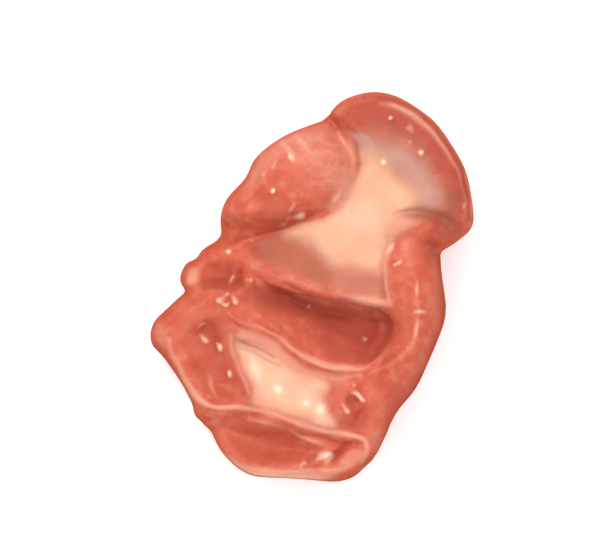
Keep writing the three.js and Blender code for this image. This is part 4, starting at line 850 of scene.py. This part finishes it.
# The fan's middle is where the fibres of the upper tendon spread from.
def meatMaterial(fanX, fanY):
    look = meatLook
    material = bpy.data.materials.new("wetMeat")
    material.use_nodes = True
    tree = material.node_tree
    tree.nodes.clear()
    wire = Wire(tree)

    place = wire.node("ShaderNodeTexCoord", output="Object")
    place = wire.node("ShaderNodeVectorMath", {"operation": "SCALE"}, {0: place, "Scale": 1000})
    blotch = wire.noise(place, look["blotchScale"], 3, 0.6)
    mottle = wire.noise(place, look["mottleScale"], 2.5, 0.5)
    grain = wire.noise(place, look["grainScale"], 3, 0.6)

    # The fibres' pattern runs along the angle round the fan's middle.
    split = wire.node("ShaderNodeSeparateXYZ", {}, {0: place})
    alongX = split - fanX
    alongY = split.output("Y") - fanY
    angle = wire.math("ARCTAN2", alongY, alongX)
    reach = wire.math("SQRT", alongX * alongX + alongY * alongY)
    fanPlace = wire.node("ShaderNodeCombineXYZ", {}, {
        "X": angle * look["fibreAcross"], "Y": reach * look["fibreAlong"]})
    fibre = wire.noise(fanPlace, look["fibreScale"], 3, 0.6)
    tuft = wire.noise(fanPlace, look["tuftScale"], 2, 0.5)

    tendon = wire.attribute("tendon")
    veil = wire.attribute("veil")
    fringe = wire.attribute("fringe")
    frayed = (fibre - 0.5) * look["fibreFray"] + (tuft - 0.5) * look["tuftFray"]
    ragged = frayed * fringe + (mottle - 0.5) * look["mottleFray"]
    soft = 1.6 + veil * 1.6 - fringe * 1.5
    covered = ((tendon + ragged) / soft).between(-1, 1)

    # Darker red, partly the meat's own and partly painted shade.
    deepRedAndShade = (wire.attribute("deepRedAndShade") + (mottle - 0.5) * 0.22).between(0, 1)
    vein = wire.noise(place, look["veinScale"], 1, 0.5) - 0.5
    web = (1.0 - wire.math("ABSOLUTE", vein * 9.0).between(0, 1)) * wire.attribute("web")
    # Pale membrane, and painted light on lit faces and crests.
    paleAndLit = (wire.attribute("paleAndLit") + look["web"] * web + (grain - 0.5) * 0.15).between(0, 1)
    # Fat, and painted highlights on crests and the lower tendon.
    fatAndHighlight = (wire.attribute("fatAndHighlight") + (grain - 0.5) * 0.4).between(0.1, 1.1)

    muscle = blotch.between(0.35, 0.7).mix(look["muscleRed"], look["muscle"])
    muscle = (0.8 * mottle.between(0.45, 0.8)).mix(muscle, look["muscleLight"])
    side = wire.attribute("side")
    colour = deepRedAndShade.mix(muscle, look["deepRedAndShade"])
    # Painted shade on steep faces, most of all low down.
    colour = (side * look["sideShade"]).mix(colour, look["side"])
    colour = wire.attribute("shade").between(0, 1).mix(colour, look["shade"])

    nearEdge = 1.0 - 0.75 * tendon.between(0.5, 4.0)
    seen = nearEdge * fringe
    fibres = fibre.between(0.35, 0.75) * seen + 0.5 * (1.0 - seen)
    fibres = fibres.mix(look["flapFilm"], look["flapFibre"])
    film = veil.mix(look["film"], tendon.between(-1.0, 3.4).mix(look["flapEdge"], fibres))
    creamy = (wire.attribute("cream") + (blotch - 0.5) * 0.5).between(0, 1)
    cream = blotch.between(0.4, 0.75).mix(look["cream"], look["creamLight"])
    tissue = creamy.mix(film, cream)
    sheer = covered * (0.75 + 0.25 * layered([creamy, veil]))
    colour = sheer.mix(colour, tissue)
    colour = paleAndLit.mix(colour, look["paleAndLit"])
    # Painted shade in folds and wrinkles.
    fold = (wire.attribute("fold") + (grain - 0.5) * 0.3).between(0, 1.1)
    colour = fold.mix(colour, look["fold"])
    colour = fatAndHighlight.mix(colour, look["fatAndHighlight"])
    # Painted glints, nearly white, and a few flecks of fat.
    colour = wire.attribute("glintAndFat").between(0.4, 0.95).mix(colour, look["glintAndFat"])

    height = (grain - 0.5) * look["grainHeight"] + (mottle - 0.5) * look["grainHeight"] * 1.6
    height = height + (fibre - 0.5) * covered * fringe * nearEdge * look["fibreHeight"]
    bump = wire.node("ShaderNodeBump", {}, {"Strength": 1.0, "Distance": 0.001, "Height": height})

    rough = look["roughness"] + (mottle - 0.5) * 0.16 + covered * 0.05 + side * 0.5
    coat = look["coat"] * (1.0 - side.between(0, 0.3)) * (1.0 - 0.6 * deepRedAndShade)
    coat = coat * (1.0 - 0.85 * covered)
    shader = wire.node("ShaderNodeBsdfPrincipled", {"subsurface_method": "RANDOM_WALK"}, {
        "Base Color": colour,
        "Roughness": rough,
        "Normal": bump,
        "Subsurface Weight": look["throughLight"],
        "Subsurface Scale": look["throughDepth"],
        "Subsurface Radius": (1.0, 0.35, 0.2),
        "Coat Weight": coat,
        "Coat Roughness": look["coatRoughness"],
        "Coat IOR": 1.3,
        "IOR": 1.33,
        "Specular IOR Level": look["bareShine"],
    })
    wire.node("ShaderNodeOutputMaterial", {}, {"Surface": shader})
    return material


def buildGizzard():
    form = gizzardForm
    cell = form["cell"]
    axisX = np.arange(-form["halfWidth"], form["halfWidth"] + cell, cell)
    axisY = np.arange(-form["halfLength"], form["halfLength"] + cell, cell)
    layers = [form["floor"]]
    while layers[-1] < form["ceiling"]:
        tall = form["tallCell"] if layers[-1] < form["tallBelow"] else 1
        layers.append(layers[-1] + cell * tall)
    axisZ = np.array(layers)
    x, y = np.meshgrid(axisX, axisY, indexing="ij")
    points, quads = skinOfField(meatField(x, y, axisZ[None, None, :]), (axisX, axisY, axisZ))
    print("meat worked out:", len(quads), "faces")

    # The middle of the plan and the lowest point go where the frame has them.
    low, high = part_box("gizzard")
    centre = (points.max(0) + points.min(0)) / 2
    shift = np.array([(low.x + high.x) * 500 - centre[0], (low.y + high.y) * 500 - centre[1],
                      low.z * 1000 - points[:, 2].min()])
    mesh = bpy.data.meshes.new("gizzardMeat")
    mesh.from_pydata(((points + shift) / 1000).tolist(), [], quads.tolist())
    mesh.update()
    mesh.shade_smooth()
    meat = bpy.data.objects.new("gizzardMeat", mesh)
    bpy.context.scene.collection.objects.link(meat)

    smooth = meat.modifiers.new("evenOut", "SMOOTH")
    smooth.iterations = form["evenOut"]
    bpy.context.view_layer.objects.active = meat
    bpy.ops.object.modifier_apply(modifier=smooth.name)

    spots = np.empty(len(mesh.vertices) * 3)
    mesh.vertices.foreach_get("co", spots)
    spots = spots.reshape(-1, 3) * 1000 - shift
    normals = np.empty(len(mesh.vertices) * 3)
    mesh.vertices.foreach_get("normal", normals)
    for name, amount in paintAmounts(*spots.T, normals[2::3]).items():
        painted = mesh.attributes.new(name, "FLOAT", "POINT")
        painted.data.foreach_set("value", amount.astype(np.float32))
    fan = gizzardPaint["fan"]
    mesh.materials.append(meatMaterial(fan[0] + shift[0], fan[1] + shift[1]))
    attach(meat, "root")
    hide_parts("gizzard")
    print("gizzard dressed:", len(mesh.polygons), "faces")
    return shift


shift = buildGizzard()


# Table, light and camera.
tableLook = {"size": 3.0, "colour": tone(250, 249, 248), "roughness": 0.6, "glow": 0.25}

lightSetup = {
    "key": {"place": (-0.14, 0.26, 0.46), "size": 0.07, "power": 0.9},
    "fill": {"place": (0.3, -0.3, 0.5), "size": 0.6, "power": 0.5},
    "top": {"place": (-0.05, 0.08, 0.8), "size": 1.6, "power": 9.5},
    "sky": 0.4,
    "aim": (0, 0, 0.01),
}

# In millimetres: the point it looks down on and how high that is, how far away the camera
# is, how wide its picture is there, and the lens.
cameraSetup = {
    "above": (-2.125, 1.87), "level": 8.0, "distance": 450.0, "width": 102.0, "sensor": 36}


def buildTable():
    bpy.ops.mesh.primitive_plane_add(size=tableLook["size"])
    table = bpy.context.object
    table.name = "table"
    material = bpy.data.materials.new("paleTable")
    material.use_nodes = True
    shader = material.node_tree.nodes["Principled BSDF"]
    shader.inputs["Base Color"].default_value = tableLook["colour"]
    shader.inputs["Roughness"].default_value = tableLook["roughness"]
    shader.inputs["Emission Color"].default_value = (1, 1, 1, 1)
    shader.inputs["Emission Strength"].default_value = tableLook["glow"]
    table.data.materials.append(material)


def aimAt(thing, target):
    direction = Vector(target) - thing.location
    thing.rotation_euler = direction.to_track_quat("-Z", "Y").to_euler()


def buildLights():
    for name in ("key", "fill", "top"):
        setup = lightSetup[name]
        lamp = bpy.data.lights.new(name, "AREA")
        lamp.size = setup["size"]
        lamp.energy = setup["power"]
        light = bpy.data.objects.new(name, lamp)
        light.location = setup["place"]
        bpy.context.scene.collection.objects.link(light)
        aimAt(light, lightSetup["aim"])
    world = bpy.data.worlds.new("softRoom")
    world.use_nodes = True
    world.node_tree.nodes["Background"].inputs["Color"].default_value = (1, 1, 1, 1)
    world.node_tree.nodes["Background"].inputs["Strength"].default_value = lightSetup["sky"]
    bpy.context.scene.world = world


def buildCamera(shift):
    setup = cameraSetup
    lens = bpy.data.cameras.new("above")
    lens.sensor_width = setup["sensor"]
    lens.lens = setup["sensor"] * setup["distance"] / setup["width"]
    lens.clip_start = 0.01
    camera = bpy.data.objects.new("above", lens)
    x, y = setup["above"]
    high = setup["level"] + setup["distance"]
    camera.location = ((x + shift[0]) / 1000, (y + shift[1]) / 1000, high / 1000)
    bpy.context.scene.collection.objects.link(camera)
    bpy.context.scene.camera = camera


buildTable()
buildLights()
buildCamera(shift)
bpy.context.scene.view_settings.view_transform = "Standard"
print("table, light and camera set")
